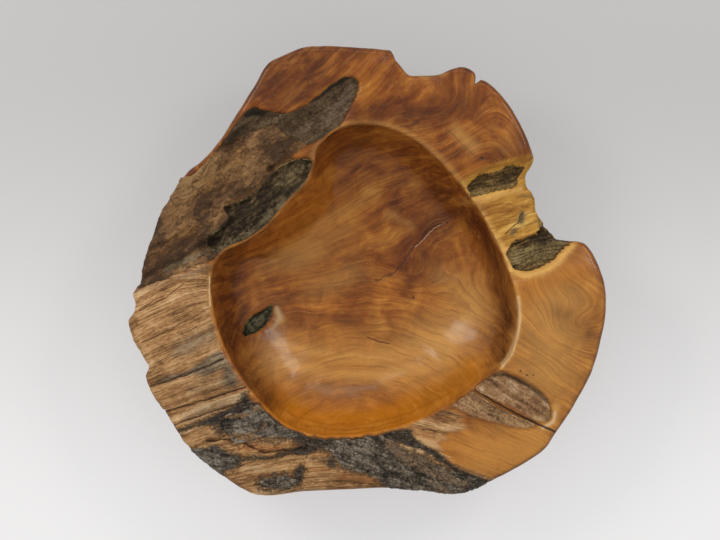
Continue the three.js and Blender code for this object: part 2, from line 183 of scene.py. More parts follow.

# Soft stains of the wood, some of them painted shade or painted sheen: line in plan, width and strength. The
# second kind keeps to the basin: painted shade on its walls, and a dark halo round the knot
WOOD_TINTS: dict[Stain, list[Tint]] = {
    Stain.HEART: [
        ([(64, 146), (92, 158)], 24, 0.6),
        ([(-8, 18), (24, 26), (62, 50)], 14, 0.35),
        ([(-80, -28), (-62, -24), (-44, -22)], 4, 0.4),
        ([(-6, -8), (20, -4), (42, 8)], 6, 0.4),
        ([(52, 16), (44, -4), (38, -22)], 8, 0.7),
        ([(58, 10), (66, 2)], 8, 0.2),
        ([(2, -18), (6, -52)], 5, 0.3),
        ([(-112, 168), (-92, 194), (-58, 208), (0, 208), (24, 203)], 5, 0.5),
        ([(-94, 172), (-52, 192)], 22, 1.0),
        ([(-90, 158), (-60, 164), (-40, 176)], 9, 0.7),
        ([(-62, 112), (-44, 117), (-30, 125)], 5, 0.5),
        ([(178, -40), (204, -50)], 10, 0.42),
        ([(208, -60), (220, -20), (208, 14)], 4, 0.3),
        ([(124, 108), (148, 118)], 14, 0.9),
        ([(-10, 146), (20, 152), (46, 142)], 13, 0.85),
        ([(-88, -77), (-38, -90), (8, -92), (56, -83)], 2.5, 0.22),
        ([(-74, -104), (-22, -113), (36, -109), (84, -90)], 3.5, 0.28),
        ([(-66, -52), (-14, -64), (44, -62)], 3, 0.2),
        ([(-24, -48), (36, -58)], 14, 0.32),
        ([(56, -122), (92, -98)], 8, 0.35),
    ],
    # Painted shade on the basin's top and side walls; the last two rows are a dark halo round the knot
    Stain.BASIN_SHADE_AND_HEART: [
        ([(-44, 92), (-22, 122), (20, 124), (60, 96), (90, 64)], 13, 0.4),
        ([(40, 88), (62, 78), (86, 54)], 14, 0.55),
        ([(102, 48), (123, 8), (133, -40), (126, -76)], 12, 1.0),
        ([(-132, 12), (-137, -20), (-130, -55), (-113, -95), (-92, -122)], 13, 1.0),
        ([(-126, -8), (-130, -36), (-122, -62)], 9, 0.5),
        ([(-116, -36), (-120, -52), (-106, -66), (-90, -58)], 7, 0.7),
        ([(-86, -32), (-70, -24)], 5, 0.5),
    ],
    Stain.HONEY: [
        ([(-82, -124), (-50, -139), (-10, -142), (30, -136), (66, -119), (96, -98)], 13, 1.0),
        ([(-60, -95), (60, -95)], 30, 0.3),
        ([(104, -172), (152, -166)], 26, 0.6),
        ([(-94, -130), (-77, -147), (-50, -157), (-20, -158), (15, -153), (50, -142)], 5, 0.9),
        ([(96, 92), (126, 104)], 8, 0.4),
        ([(-4, 140), (0, 178)], 9, 0.3),
        ([(-30, 60), (-60, 40)], 26, 0.35),
        ([(140, -20), (202, 4)], 14, 0.5),
    ],
    Stain.PALE_AND_SHEEN: [
        # Pale wood in the lower basin, partly painted sheen
        ([(-84, -86), (70, -88)], 26, 0.75),
        ([(60, -70), (96, -40)], 28, 0.6),
        ([(70, -4), (100, -22)], 12, 0.4),
        # Pale streaks in the lower basin, partly painted sheen
        ([(-84, -68), (-44, -80), (0, -83), (44, -78)], 3.5, 0.5),
        ([(-82, -86), (-34, -99), (16, -100), (62, -88)], 4, 0.55),
        ([(66, -72), (86, -58), (98, -40)], 5, 0.5),
        ([(-88, -37), (-82, -48)], 4, 0.9),
        ([(170, -90), (176, -30)], 42, 0.75),
        ([(82, 132), (98, 116)], 6, 0.75),
        ([(129, 18), (133, 2), (148, -5), (166, -2), (181, 9), (193, 24)], 3.4, 0.95),
        ([(94, 65), (110, 66), (128, 71), (144, 76)], 3, 0.8),
        ([(112, 48), (121, 28), (127, 20)], 3, 0.7),
        ([(-66, 14), (-20, 40)], 14, 0.35),
        ([(-88, 12), (-40, 46), (6, 74)], 6, 0.45),
        ([(-98, 4), (-74, 6), (-50, 16)], 10, 0.35),
        ([(20, 54), (42, 42)], 4, 0.45),
        ([(-50, -18), (-14, -2)], 13, 0.4),
        ([(166, -147), (176, -138), (177, -128)], 4, 0.8),
        ([(36, 188), (52, 183), (72, 186)], 2.5, 0.9),
        # Painted highlight along the right lip's rounding, partly a paler worn edge
        ([(139, -12), (143, -40), (135, -78), (125, -91)], 2.4, 0.9),
        # Painted sheen on the lower right lobe, which lies in dim light
        ([(108, -172), (154, -166)], 24, 1.0),
        # A pale bevel along the left lip, partly painted highlight
        ([(-150, -2), (-150, -40), (-142, -66)], 4, 0.9),
    ],
    Stain.GREY: [
        ([(-178, -74), (-140, -56)], 13, 0.7),
        ([(-152, -92), (-134, -84), (-126, -100)], 9, 0.9),
        ([(-196, -104), (-160, -94), (-138, -80)], 4, 0.8),
        ([(-170, -136), (-138, -124), (-112, -118)], 8, 0.6),
        ([(-216, -18), (-180, -8), (-146, 4)], 5, 0.6),
        ([(20, -152), (44, -149)], 5, 0.6),
        ([(-110, -186), (-88, -187)], 6, 0.5),
        ([(-166, -112), (-134, -104)], 10, 0.5),
        ([(-176, -156), (-132, -142)], 14, 0.35),
        ([(145, 54), (144, 47)], 3.2, 1.0),
        ([(139, 38), (136, 35)], 2.6, 0.9),
        ([(162, 50), (162, 40)], 1.8, 0.8),
        ([(146, 71), (156, 69)], 1.8, 0.6),
        ([(-90, -207), (60, -206)], 4, 0.5),
    ],
    Stain.RUST: [
        ([(-118, -166), (-82, -165)], 4.5, 1.0),
        ([(-24, -193), (8, -196)], 5, 0.95),
        ([(-52, -168), (-14, -174)], 5, 0.8),
        ([(-184, -160), (-170, -176)], 6, 0.8),
        ([(-72, -189), (-40, -184), (-20, -178)], 5, 0.7),
        ([(44, -152), (70, -160), (92, -178)], 9, 0.75),
        ([(60, -138), (90, -142)], 6, 0.6),
        ([(104, 60), (136, 56)], 6, 0.8),
        ([(-205, -40), (-170, -30)], 14, 0.3),
        ([(-206, -66), (-160, -48)], 7, 0.45),
    ],
    Stain.SOOT: [
        ([(-134, -146), (-104, -138)], 14, 0.75),
        ([(-112, -120), (-84, -140)], 9, 0.7),
        ([(-64, -190), (-62, -186)], 6, 0.85),
        ([(-172, -172), (-128, -177), (-90, -175), (-52, -166)], 3.6, 0.65),
        ([(-84, -150), (-50, -160), (0, -160), (36, -154)], 9, 0.8),
        ([(-104, -199), (-66, -199)], 6, 0.6),
        ([(-30, -178), (20, -176), (60, -188)], 11, 0.6),
        ([(-60, -172), (-36, -180)], 4, 0.3),
        ([(-176, -150), (-130, -134), (-104, -126)], 5, 0.6),
        ([(38, -158), (60, -170), (84, -187), (104, -196)], 4, 0.75),
    ],
}

# Soft stains of the bark, some of them painted shade or painted glints
BARK_TINTS: dict[Stain, list[Tint]] = {
    Stain.DUST_AND_GLINTS: [
        ([(-58, 80), (-79, 62), (-101, 44), (-124, 29), (-150, 17), (-188, 4)], 5.0, 0.65),
        ([(-40, 136), (-24, 160), (-16, 174)], 7, 0.8),
        ([(-96, 131), (-80, 138)], 7, 0.5),
        ([(-52, 98), (-66, 96)], 5, 0.5),
        ([(-192, 0), (-166, 11)], 4, 0.5),
        # Painted glints along the lip's lower side, on the bottom crust
        ([(-52, -156), (-20, -156), (12, -153)], 2.0, 0.4),
        ([(140, 12), (160, 18), (178, 26)], 14, 0.75),
        ([(90, -123), (120, -135), (150, -145)], 6, 0.75),
        ([(158, -140), (167, -138), (171, -131)], 4.5, 1.0),
        ([(-98, 119), (-74, 112)], 7, 0.5),
    ],
    Stain.SHADE_AND_HOLLOW: [
        # Dark hollows of the bark; the rows along the fold's upper border and the upper edges of the insets
        # and the strip are painted shadow
        ([(-68, 80), (-84, 72), (-104, 59), (-122, 50), (-136, 43)], 6.0, 0.62),
        ([(-116, 149), (-96, 151), (-74, 152), (-52, 160), (-34, 172), (-20, 181)], 3.4, 0.85),
        ([(-112, 146), (-100, 150)], 6, 0.6),
        ([(-130, 126), (-112, 134)], 4, 0.2),
        ([(96, 80), (112, 90), (134, 97)], 2, 0.5),
        ([(132, 10), (142, 22)], 2, 0.4),
        ([(106, -97), (128, -97), (150, -107), (168, -122)], 3.4, 0.62),
        ([(-40, -150), (0, -149), (24, -152)], 4, 0.5),
        ([(-34, -164), (-4, -172), (20, -182)], 7, 0.45),
    ],
    Stain.FLAKE: [
        # Ochre flake edges along the pocket's ledge, partly painted light on the ledge's edge
        ([(-50, 112), (-66, 109), (-80, 104)], 4.5, 1.0),
        ([(-82, 100), (-94, 90), (-106, 77), (-118, 68), (-132, 62)], 2.6, 1.0),
        ([(-120, 104), (-150, 76), (-180, 50)], 16, 0.5),
        ([(-142, 116), (-150, 106)], 4, 0.8),
        ([(-148, 84), (-128, 76)], 10, 0.5),
        ([(-150, 48), (-170, 34)], 9, 0.5),
        ([(-206, 12), (-184, 22), (-164, 36)], 7, 0.7),
        ([(-30, -182), (-10, -190), (10, -196)], 4, 0.9),
        ([(20, -164), (40, -172)], 5, 0.7),
        ([(30, -176), (60, -190), (92, -202)], 6, 0.7),
        ([(20, -162), (48, -172), (76, -186)], 8, 0.6),
        ([(-120, -156), (-84, -157)], 4, 0.7),
        ([(-212, -6), (-190, 6)], 9, 0.6),
        ([(-142, 118), (-120, 112)], 9, 0.6),
        ([(-98, 119), (-74, 112)], 8, 0.7),
    ],
}


def smoothstep(value: Array, low: float, high: float) -> Array:
    """0 below low, 1 above high, and a smooth rise between them."""
    share = np.clip((value - low) / (high - low), 0.0, 1.0)
    return share * share * (3.0 - 2.0 * share)


def lerp(start: Array | float, end: Array | float, share: Array | float) -> Array:
    """The value a share of the way from start to end."""
    return start + (end - start) * share


def lattice_hash(cells: Array, seed: int) -> Array:
    """A repeatable number from 0 to 1 for each whole-number cell.

    Args:
        cells: Whole-number cell places, in the last axis.
        seed: Picks one of many unlike patterns.

    Returns:
        One number for each cell.
    """
    mixed = np.full(cells.shape[:-1], (seed * 668265263 + 374761393) % 2**32, np.uint32)
    for axis in range(cells.shape[-1]):
        factor = np.uint32(2246822519 + 2 * axis * 7919)
        mixed ^= cells[..., axis].astype(np.int64).astype(np.uint32) * factor
        mixed = (mixed ^ (mixed >> np.uint32(15))) * np.uint32(2654435761)
    mixed ^= mixed >> np.uint32(13)
    return mixed.astype(np.float64) / 2.0**32


def value_noise(points: Array, seed: int) -> Array:
    """Smooth noise with one swell for each unit of the points.

    Args:
        points: Places, in rows.
        seed: Picks one of many unlike patterns.

    Returns:
        One value for each point, from -1 to 1.
    """
    cell = np.floor(points).astype(np.int64)
    part = points - cell
    part = part * part * (3.0 - 2.0 * part)
    total = np.zeros(points.shape[0])
    dimensions = points.shape[1]
    for corner in range(2**dimensions):
        step = np.array([(corner >> axis) & 1 for axis in range(dimensions)])
        weight = np.prod(np.where(step == 1, part, 1.0 - part), axis=1)
        total += weight * lattice_hash(cell + step, seed)
    return total * 2.0 - 1.0


def fractal(points: Array, seed: int, octaves: int = 3, keep: float = 0.5) -> Array:
    """Noise in layers, each half the size of the one before.

    Args:
        points: Places, already divided by the size of the largest swell.
        seed: Picks one of many unlike patterns.
        octaves: Number of layers.
        keep: Strength of each layer as a share of the one before.

    Returns:
        One value for each point, about -1 to 1.
    """
    total = np.zeros(points.shape[0])
    strength = 1.0
    reach = 0.0
    for layer in range(octaves):
        total += strength * value_noise(points * 2.0**layer, seed + layer)
        reach += strength
        strength *= keep
    return total / reach


def streaks(
    along: Array, across: Array, sizes: tuple[float, float], seed: int, octaves: int = 3, keep: float = 0.6
) -> Array:
    """Noise in layers, drawn out to the sizes given along and across a direction."""
    return fractal(np.column_stack([along / sizes[0], across / sizes[1]]), seed, octaves, keep)


def cell_noise(points: Array, seed: int) -> tuple[Array, Array, Array, Array]:
    """Cells round scattered points, one for each unit square.

    Args:
        points: Plan places, already divided by the size of a cell.
        seed: Picks one of many unlike patterns.

    Returns:
        The distance to the cell's own point, a number from 0 to 1 that is the same all over the cell, the
        height of a flat facet across the cell, tilted its own way, and how far the next cell's point is
        beyond the own one.
    """
    cell = np.floor(points).astype(np.int64)
    nearest = np.full(points.shape[0], 9.0)
    second = nearest.copy()
    mark = np.zeros(points.shape[0])
    facet = np.zeros(points.shape[0])
    for dx in (-1, 0, 1):
        for dy in (-1, 0, 1):
            here = cell + np.array([dx, dy])
            spot = here + np.stack([lattice_hash(here, seed), lattice_hash(here, seed + 1)], axis=1)
            away = points - spot
            gap = np.hypot(away[:, 0], away[:, 1])
            own = lattice_hash(here, seed + 2)
            tilt = away[:, 0] * np.cos(own * 40.0) + away[:, 1] * np.sin(own * 40.0)
            closer = gap < nearest
            second = np.minimum(second, np.maximum(gap, nearest))
            nearest = np.where(closer, gap, nearest)
            mark = np.where(closer, own, mark)
            facet = np.where(closer, tilt, facet)
    return nearest, mark, facet, second - nearest


def closed_curve(points: Points, steps: int) -> Array:
    """Points along a closed, smooth, centripetal curve through plan points.

    Args:
        points: The plan points that the curve goes through.
        steps: How many curve points are made for each plan point.

    Returns:
        An array of plan points.
    """
    p1 = np.array(points, float)
    p0, p2, p3 = (np.roll(p1, shift, axis=0) for shift in (1, -1, -2))
    d0, d1, d2 = (np.sqrt(np.hypot(*(b - a).T))[:, None] for a, b in ((p0, p1), (p1, p2), (p2, p3)))
    t1 = ((p1 - p0) / d0 - (p2 - p0) / (d0 + d1) + (p2 - p1) / d1) * d1
    t2 = ((p2 - p1) / d1 - (p3 - p1) / (d1 + d2) + (p3 - p2) / d2) * d1
    share = (np.arange(steps) / steps)[None, :, None]
    c0, c1, c2, c3 = p1, t1, 3 * (p2 - p1) - 2 * t1 - t2, 2 * (p1 - p2) + t1 + t2
    curve = c0[:, None] + share * (c1[:, None] + share * (c2[:, None] + share * c3[:, None]))
    return curve.reshape(-1, 2)


def line_distance(line: Array, plan: Array, closed: bool = False) -> Array:
    """Distance from plan points to a line of straight runs.

    Args:
        line: Points of the line.
        plan: Points to measure from.
        closed: Whether the last point runs back to the first.

    Returns:
        One distance for each plan point.
    """
    starts = line if closed else line[:-1]
    ends = np.roll(line, -1, axis=0)[: len(starts)]
    nearest = np.full(len(plan), np.inf)
    for start, end in zip(starts, ends):
        run = end - start
        along = np.clip(((plan - start) @ run) / max(run @ run, 1e-12), 0.0, 1.0)
        gap = plan - start - along[:, None] * run
        nearest = np.minimum(nearest, gap[:, 0] ** 2 + gap[:, 1] ** 2)
    return np.sqrt(nearest)


def inside_distance(outline: Array, plan: Array, margin: float = FAR) -> Array:
    """Distance inside a closed outline.

    Args:
        outline: Points of the outline.
        plan: Points to measure from.
        margin: How far outside the outline distances are worked out.

    Returns:
        One distance for each plan point, negative outside and never below minus the margin.
    """
    found = np.full(len(plan), -margin)
    low, high = outline.min(0) - margin, outline.max(0) + margin
    near = np.all((plan > low) & (plan < high), axis=1)
    spots = plan[near]
    inside = np.zeros(len(spots), bool)
    for a, b in zip(outline, np.roll(outline, -1, axis=0)):
        if a[1] == b[1]:
            continue
        crosses = (a[1] > spots[:, 1]) != (b[1] > spots[:, 1])
        inside ^= crosses & (spots[:, 0] < a[0] + (spots[:, 1] - a[1]) * (b[0] - a[0]) / (b[1] - a[1]))
    gap = line_distance(outline, spots, closed=True)
    found[near] = np.maximum(np.where(inside, gap, -gap), -margin)
    return found


def turned(plan: Array, degrees: float) -> tuple[Array, Array]:
    """Plan places measured along and across a direction turned by degrees."""
    cos, sin = math.cos(math.radians(degrees)), math.sin(math.radians(degrees))
    return plan[:, 0] * cos + plan[:, 1] * sin, plan[:, 1] * cos - plan[:, 0] * sin


def blob(plan: Array, centre: tuple[float, float], radii: tuple[float, float], turn: float = 0.0) -> Array:
    """A soft spot, 1 at its centre and fading out round an ellipse turned by degrees."""
    along, across = turned(plan - np.array(centre), turn)
    return np.exp(-((along / radii[0]) ** 2 + (across / radii[1]) ** 2))


def stroke(plan: Array, line: Points, width: float) -> Array:
    """A soft band along a line, 1 on the line and fading out at its width."""
    return np.exp(-((line_distance(np.array(line, float), plan) / width) ** 2))


def tint_sums(tints: dict[Stain, list[Tint]], plan: Array) -> dict[str, Array]:
    """Adds up stains at plan points.

    Args:
        tints: The stains of each kind.
        plan: Plan points.

    Returns:
        A sum for each kind of stain, by its name.
    """
    swells = plan / STAIN_SWELL
    warped = plan + STAIN_WANDER * np.column_stack([fractal(swells, 81), fractal(swells, 85)])
    sums = {stain.value: np.zeros(len(plan)) for stain in tints}
    for stain, rows in tints.items():
        for line, width, strength in rows:
            sums[stain.value] += strength * stroke(warped, line, width)
    return sums


@dataclass
class Sinking:
    """A zone where the rim lies lower than the polished lobes."""

    outline: Points
    sink: float
    ramp: float


@dataclass
class Skin:
    """The outer form of the bowl, wood and bark together, as the solids have it."""

    length: float
    width: float
    height: float
    base_length: float = 216.0
    base_width: float = 204.0
    edge_round: float = 6.0
    edge_fall: float = 10.0
    belly_power: float = 1.85
    edge_blend: float = 60.0
    basin_length: float = 287.0
    basin_width: float = 290.0
    basin_centre: tuple[float, float] = (-2.5, -9.0)
    floor_thickness: float = 30.0
    lip_round: float = 3.0
    wall_power: float = 2.8
    wall_bend: float = 0.62
    wall_top: float = 0.995
    wall_probes: int = 200
    own_shape: tuple[float, float] = (0.1, 0.9)
    lip_width: float = 2.0
    bare_bottom: float = 1.6
    bare_left: float = 2.6
    bare_wander: float = 2.4
    wrap_stretch: float = 1.9
    inset: float = 0.8
    top_margin: float = 0.05
    coarse_steps: int = 2
    outline_steps: int = 4
    fine_steps: int = 24
    lip_margin: float = 300.0
    zones: list[Sinking] = field(
        default_factory=lambda: [
            Sinking(UPPER_LEFT, 9, 18),
            Sinking(SAPWOOD_HOLLOW, 9, 16),
            Sinking(BOTTOM, 5, 16),
            Sinking(LOWER_LEFT, 4, 14),
            Sinking(LEFT_EDGE, 2, 10),
            Sinking(BOTTOM_LEFT, 1, 8),
            Sinking(STRIP_OUTER, 2, 10),
            Sinking(STRIP_INNER, 2, 10),
        ]
    )

    def __post_init__(self) -> None:
        """Works out the polar tables of the lip and the edge about the basin's centre."""
        self.centre = np.array(self.basin_centre)
        raw = closed_curve(RIM_OUTLINE, self.coarse_steps)
        self.rim_middle = (raw.min(0) + raw.max(0)) / 2
        self.rim_scale = np.array([self.length, self.width]) / (raw.max(0) - raw.min(0))
        lip = closed_curve(LIP_OUTLINE, self.coarse_steps)
        size = np.array([self.basin_length, self.basin_width])
        away = closed_curve(LIP_OUTLINE, self.fine_steps) - (lip.min(0) + lip.max(0)) / 2
        self.lip = self.centre + away * size / (lip.max(0) - lip.min(0))
        self.lip_line = self.lip[:: self.fine_steps // 6]
        self.lip_table = self.polar_table(self.lip)
        self.edge_table = self.polar_table(self.to_plan(closed_curve(RIM_OUTLINE, self.fine_steps)))
        coarse = self.to_plan(raw)
        angle, reach = self.polar(coarse)
        apart = np.hypot(*(coarse[:, None] - coarse[None]).transpose(2, 0, 1))
        near = apart < self.edge_blend / 2
        even = (near * reach[None]).sum(1) / near.sum(1)
        order = np.argsort(angle)
        self.even_table = (angle[order], even[order])
        self.round_reach = float(self.polar(self.lip)[1].mean())
        self.zone_outlines = [(zone, self.outline(zone.outline)) for zone in self.zones]

    def to_plan(self, points: Array) -> Array:
        """Moves and stretches outline points to the bowl's own length and width."""
        return (points - self.rim_middle) * self.rim_scale

    def outline(self, points: Points) -> Array:
        """A smooth closed outline, fitted to the bowl."""
        return self.to_plan(closed_curve(points, self.outline_steps))

    def wrapping(self, points: Points) -> Array:
        """A smooth closed outline that runs further down the side where it passes the edge.

        Args:
            points: Plan points of the outline.

        Returns:
            Points of the fitted outline.
        """
        curve = self.outline(points)
        angle, reach = self.polar(curve)
        edge = self.look_up(self.edge_table, angle)
        return self.plan_at(angle, reach + np.maximum(reach - edge, 0.0) * (self.wrap_stretch - 1))

    def polar_table(self, curve: Array) -> tuple[Array, Array]:
        """A closed curve about the basin's centre as sorted angles, and the reach at each."""
        rows = np.column_stack(self.polar(curve))
        return tuple(rows[rows[:, 0].argsort()].T)

    @staticmethod
    def look_up(table: tuple[Array, Array], angle: Array) -> Array:
        """The reach of a polar table at each angle."""
        return np.interp(angle, table[0], table[1], period=2 * math.pi)

    def polar(self, plan: Array) -> tuple[Array, Array]:
        """Angle and reach of plan points about the basin's centre."""
        away = plan - self.centre
        return np.arctan2(away[:, 1], away[:, 0]), np.hypot(away[:, 0], away[:, 1])

    def plan_at(self, angle: Array, reach: Array) -> Array:
        """Plan points at angles and reaches about the basin's centre."""
        return self.centre + np.stack([np.cos(angle) * reach, np.sin(angle) * reach], axis=-1)

    def rim_height(self, plan: Array) -> Array:
        """Height of the rim.

        Args:
            plan: Plan points between the lip and the edge.

        Returns:
            One height for each point.
        """
        angle, reach = self.polar(plan)
        start = self.look_up(self.lip_table, angle) + self.lip_round
        share = (reach - start) / (self.look_up(self.even_table, angle) - start)
        height = self.height - self.inset - self.edge_fall * np.maximum(share, 0.0) ** 2
        for zone, outline in self.zone_outlines:
            height -= zone.sink * smoothstep(inside_distance(outline, plan), -zone.ramp / 3, zone.ramp)
        return height

    def over(self, plan: Array) -> Array:
        """Points of the skin over plan points. Past the edge the side of the bowl is rolled out flat.

        Args:
            plan: Plan points outside the lip. A point past the edge lies that far down the side.

        Returns:
            Points of the skin.
        """
        angle, reach = self.polar(plan)
        edge = self.look_up(self.edge_table, angle) - self.inset
        top = edge - self.edge_round
        past = np.maximum(reach - top, 0.0)
        turn = np.minimum(past / self.edge_round, math.pi / 2)
        down = np.maximum(past - self.edge_round * math.pi / 2, 0.0)
        flat = np.minimum(reach, top)
        edge_height = self.rim_height(self.plan_at(angle, flat)) - self.edge_round * (1 - np.cos(turn))
        out = flat + self.edge_round * np.sin(turn)
        drop = np.clip(down / np.maximum(edge_height, 1.0), 0.0, 1.0)
        swing = np.arcsin(drop ** (self.belly_power / 2))
        inwards = 1 - np.cos(swing) ** (2 / self.belly_power)
        even = np.minimum(self.look_up(self.even_table, angle), edge + self.edge_round) - self.inset
        outer = lerp(out, even, np.where(down > 0, swing / (math.pi / 2), 0.0))
        base = 1 / np.hypot(np.cos(angle) / (self.base_length / 2), np.sin(angle) / (self.base_width / 2))
        place = self.plan_at(angle, lerp(outer, base, inwards))
        return np.column_stack([place, edge_height * (1 - drop)])

    def basin(self, angle: Array, share: float) -> Array:
        """One ring of the basin, at a share of the way from its middle to its lip.

        Args:
            angle: Angles of the ring's points about the basin's centre.
            share: 0 in the middle of the floor, 1 under the lip.

        Returns:
            Points of the ring.
        """
        reach = self.wall_reach(self.look_up(self.lip_table, angle), share)
        return np.column_stack([self.plan_at(angle, reach), self.wall_height(angle, share)])

    def wall_reach(self, lip: Array, share: Array | float) -> Array:
        """Reach of the basin's wall, which is round in the middle and has the lip's shape further out."""
        return share * lerp(self.round_reach, lip, smoothstep(share, *self.own_shape))

    def wall_height(self, angle: Array, share: Array | float) -> Array:
        """Height of the basin's wall, from the floor to the lip's rounding."""
        rise = 1 - (1 - share**self.wall_power) ** self.wall_bend
        return lerp(self.floor_thickness - self.inset, self.lip_height(angle) - self.lip_round, rise)

    def lip_height(self, angle: Array) -> Array:
        """Height of the rim where it meets the lip's rounding."""
        return self.rim_height(self.plan_at(angle, self.look_up(self.lip_table, angle) + self.lip_round))

    def lip_ring(self, angle: Array, turn: float) -> Array:
        """One ring of the lip's rounding.

        Args:
            angle: Angles of the ring's points about the basin's centre.
            turn: 0 at the basin's wall, and a right angle on the rim.

        Returns:
            Points of the ring.
        """
        reach = self.look_up(self.lip_table, angle) + self.lip_round * (1 - math.cos(turn))
        height = self.lip_height(angle) - self.lip_round * (1 - math.sin(turn))
        return np.column_stack([self.plan_at(angle, reach), height])

    def over_basin(self, plan: Array) -> Array:
        """Points of the basin's wall.

        Args:
            plan: Plan points inside the lip.

        Returns:
            Points of the wall over them.
        """
        angle, reach = self.polar(plan)
        shares = np.linspace(0.0, self.wall_top, self.wall_probes)
        reaches = self.wall_reach(self.look_up(self.lip_table, angle)[:, None], shares)
        share = np.array([np.interp(r, row, shares) for r, row in zip(reach, reaches)])
        return np.column_stack([plan, self.wall_height(angle, share)])

    def beyond_lip(self, plan: Array) -> Array:
        """Distance outside the basin's lip, negative inside it."""
        return -inside_distance(self.lip_line, plan, margin=self.lip_margin)

    def bare_lip(self, plan: Array) -> Array:
        """Width of the bare wood beside the lip, broader along the bottom and the left of the basin.

        Args:
            plan: Plan points.

        Returns:
            One width for each point.
        """
        bottom = smoothstep(plan[:, 1], -118.0, -140.0) * smoothstep(plan[:, 0], 62.0, 30.0)
        left = smoothstep(plan[:, 0], -118.0, -134.0) * smoothstep(plan[:, 1], 6.0, -4.0)
        wander = self.bare_wander * fractal(plan / 7.0, 97, 3, 0.6)
        broad = np.maximum(self.bare_bottom * bottom, self.bare_left * left)
        return self.lip_width + broad + wander * np.maximum(bottom, 0.25)

    def inside_edge(self, plan: Array) -> Array:
        """Distance inside the live edge along a ray from the basin's centre."""
        angle, reach = self.polar(plan)
        return self.look_up(self.edge_table, angle) - reach

    def keep_within(self, points: Array) -> Array:
        """Keeps points below the highest part of the solids."""
        points[:, 2] = np.minimum(points[:, 2], self.height - self.top_margin)
        return points


# Knots and swirls that bend the growth layers: strength, centre, radii and turn
SWIRLS: list[tuple[float, tuple[float, float], tuple[float, float], float]] = [
    (36.0, (195, -53), (30, 17), 8),
    (30.0, (80, 150), (46, 34), 15),
    (-18.0, (-103, -50), (26, 17), 35),
    (14.0, (40, -4), (22, 28), 60),
]


def growth_layer(plan: Array, height: Array, calm: Array) -> Array:
    """Distance across the wood's growth layers, which its fibres run along.

    Args:
        plan: Plan points.
        height: Their heights.
        calm: 1 where the fibres run straight, as in the weathered wood.

    Returns:
        One distance for each point, in millimetres.
    """
    x, y = plan[:, 0], plan[:, 1]
    upper = smoothstep(y, -45.0, 75.0) * smoothstep(x, 190.0, 100.0) * smoothstep(x, -185.0, -120.0)
    hill = y + 0.0016 * (x + 15.0) ** 2
    slant = y - 0.72 * x
    layer = lerp(hill, slant, upper) + 0.42 * (height - 60.0)
    layer += lerp(11.0, 4.0, calm) * fractal(np.column_stack([plan / 70.0, height / 70.0]), 11)
    layer += lerp(2.6, 0.5, calm) * fractal(np.column_stack([plan / 20.0, height / 20.0]), 15)
    for strength, centre, radii, turn in SWIRLS:
        layer += strength * blob(plan, centre, radii, turn)
    return layer


def grain_field(plan: Array, height: Array, calm: Array) -> Array:
    """The wood's own coordinates: along its fibres, across its growth layers, and height."""
    along = plan[:, 0] + 0.3 * plan[:, 1] + 4.0 * fractal(plan / 60.0, 19)
    return np.column_stack([along, growth_layer(plan, height, calm), height])


def ragged_edge(plan: Array) -> Array:
    """A wander from -1 to 1 that roughens the border of bark, the same for neighbours."""
    return fractal(plan / 11.0, 91, 4, 0.6)


def new_mesh_object(name: str, points: Array, faces: list, smooth: bool = True) -> bpy.types.Object:
    """A mesh object at the origin from points in millimetres.

    Args:
        name: The piece's name.
        points: Its corners, in millimetres.
        faces: Rows of corner numbers.
        smooth: Whether it is shaded smooth.

    Returns:
        The linked object.
    """
    mesh = bpy.data.meshes.new(name)
    mesh.from_pydata((points * MM).tolist(), [], faces)
    mesh.polygons.foreach_set("use_smooth", np.full(len(mesh.polygons), smooth))
    mesh.update()
    return link_mesh(name, mesh)


def link_mesh(name: str, mesh: bpy.types.Mesh) -> bpy.types.Object:
    """Links a mesh to the scene as an object at the origin.

    Args:
        name: The piece's name.
        mesh: Its mesh.

    Returns:
        The linked object.
    """
    piece = bpy.data.objects.new(name, mesh)
    bpy.context.scene.collection.objects.link(piece)
    return piece


def set_attribute(piece: bpy.types.Object, name: str, values: Array) -> None:
    """Gives each corner of a mesh a number, or a vector where values has three columns."""
    kind, key = ("FLOAT", "value") if values.ndim == 1 else ("FLOAT_VECTOR", "vector")
    piece.data.attributes.new(name, kind, "POINT").data.foreach_set(key, np.float32(values).ravel())


def grid_normals(grid: Array) -> Array:
    """Normals of a grid of rings that close on themselves, pointing up on the rim.

    Args:
        grid: Points, by ring and column.

    Returns:
        A unit vector for each point.
    """
    around = np.roll(grid, -1, axis=1) - np.roll(grid, 1, axis=1)
    outwards = np.gradient(grid, axis=0)
    normal = np.cross(outwards, around)
    return normal / np.maximum(np.linalg.norm(normal, axis=2, keepdims=True), 1e-9)


def border_edges(faces: Array) -> Array:
    """Edges that only one triangle has.

    Args:
        faces: Rows of three corner numbers.

    Returns:
        Pairs of corner numbers, in the direction of their own triangle.
    """
    edges = np.concatenate([faces[:, [0, 1]], faces[:, [1, 2]], faces[:, [2, 0]]])
    keys = edges.min(1).astype(np.int64) * (faces.max() + 1) + edges.max(1)
    _, where, counts = np.unique(keys, return_inverse=True, return_counts=True)
    return edges[counts[where] == 1]


def srgb(code: str) -> tuple[float, float, float, float]:
    """A colour as the renderer wants it, from a hex code as a screen shows it."""
    parts = [int(code[i : i + 2], 16) / 255 for i in (1, 3, 5)]
    return (*(c / 12.92 if c <= 0.04045 else ((c + 0.055) / 1.055) ** 2.4 for c in parts), 1.0)


def feed(tree: bpy.types.NodeTree, target: Socket, value: object) -> None:
    """Links a socket to a node's input, or sets the input's own value.

    Args:
        tree: The node tree.
        target: The input.
        value: A socket or a plain value.
    """
    if isinstance(value, bpy.types.NodeSocket):
        tree.links.new(value, target)
    else:
        target.default_value = value


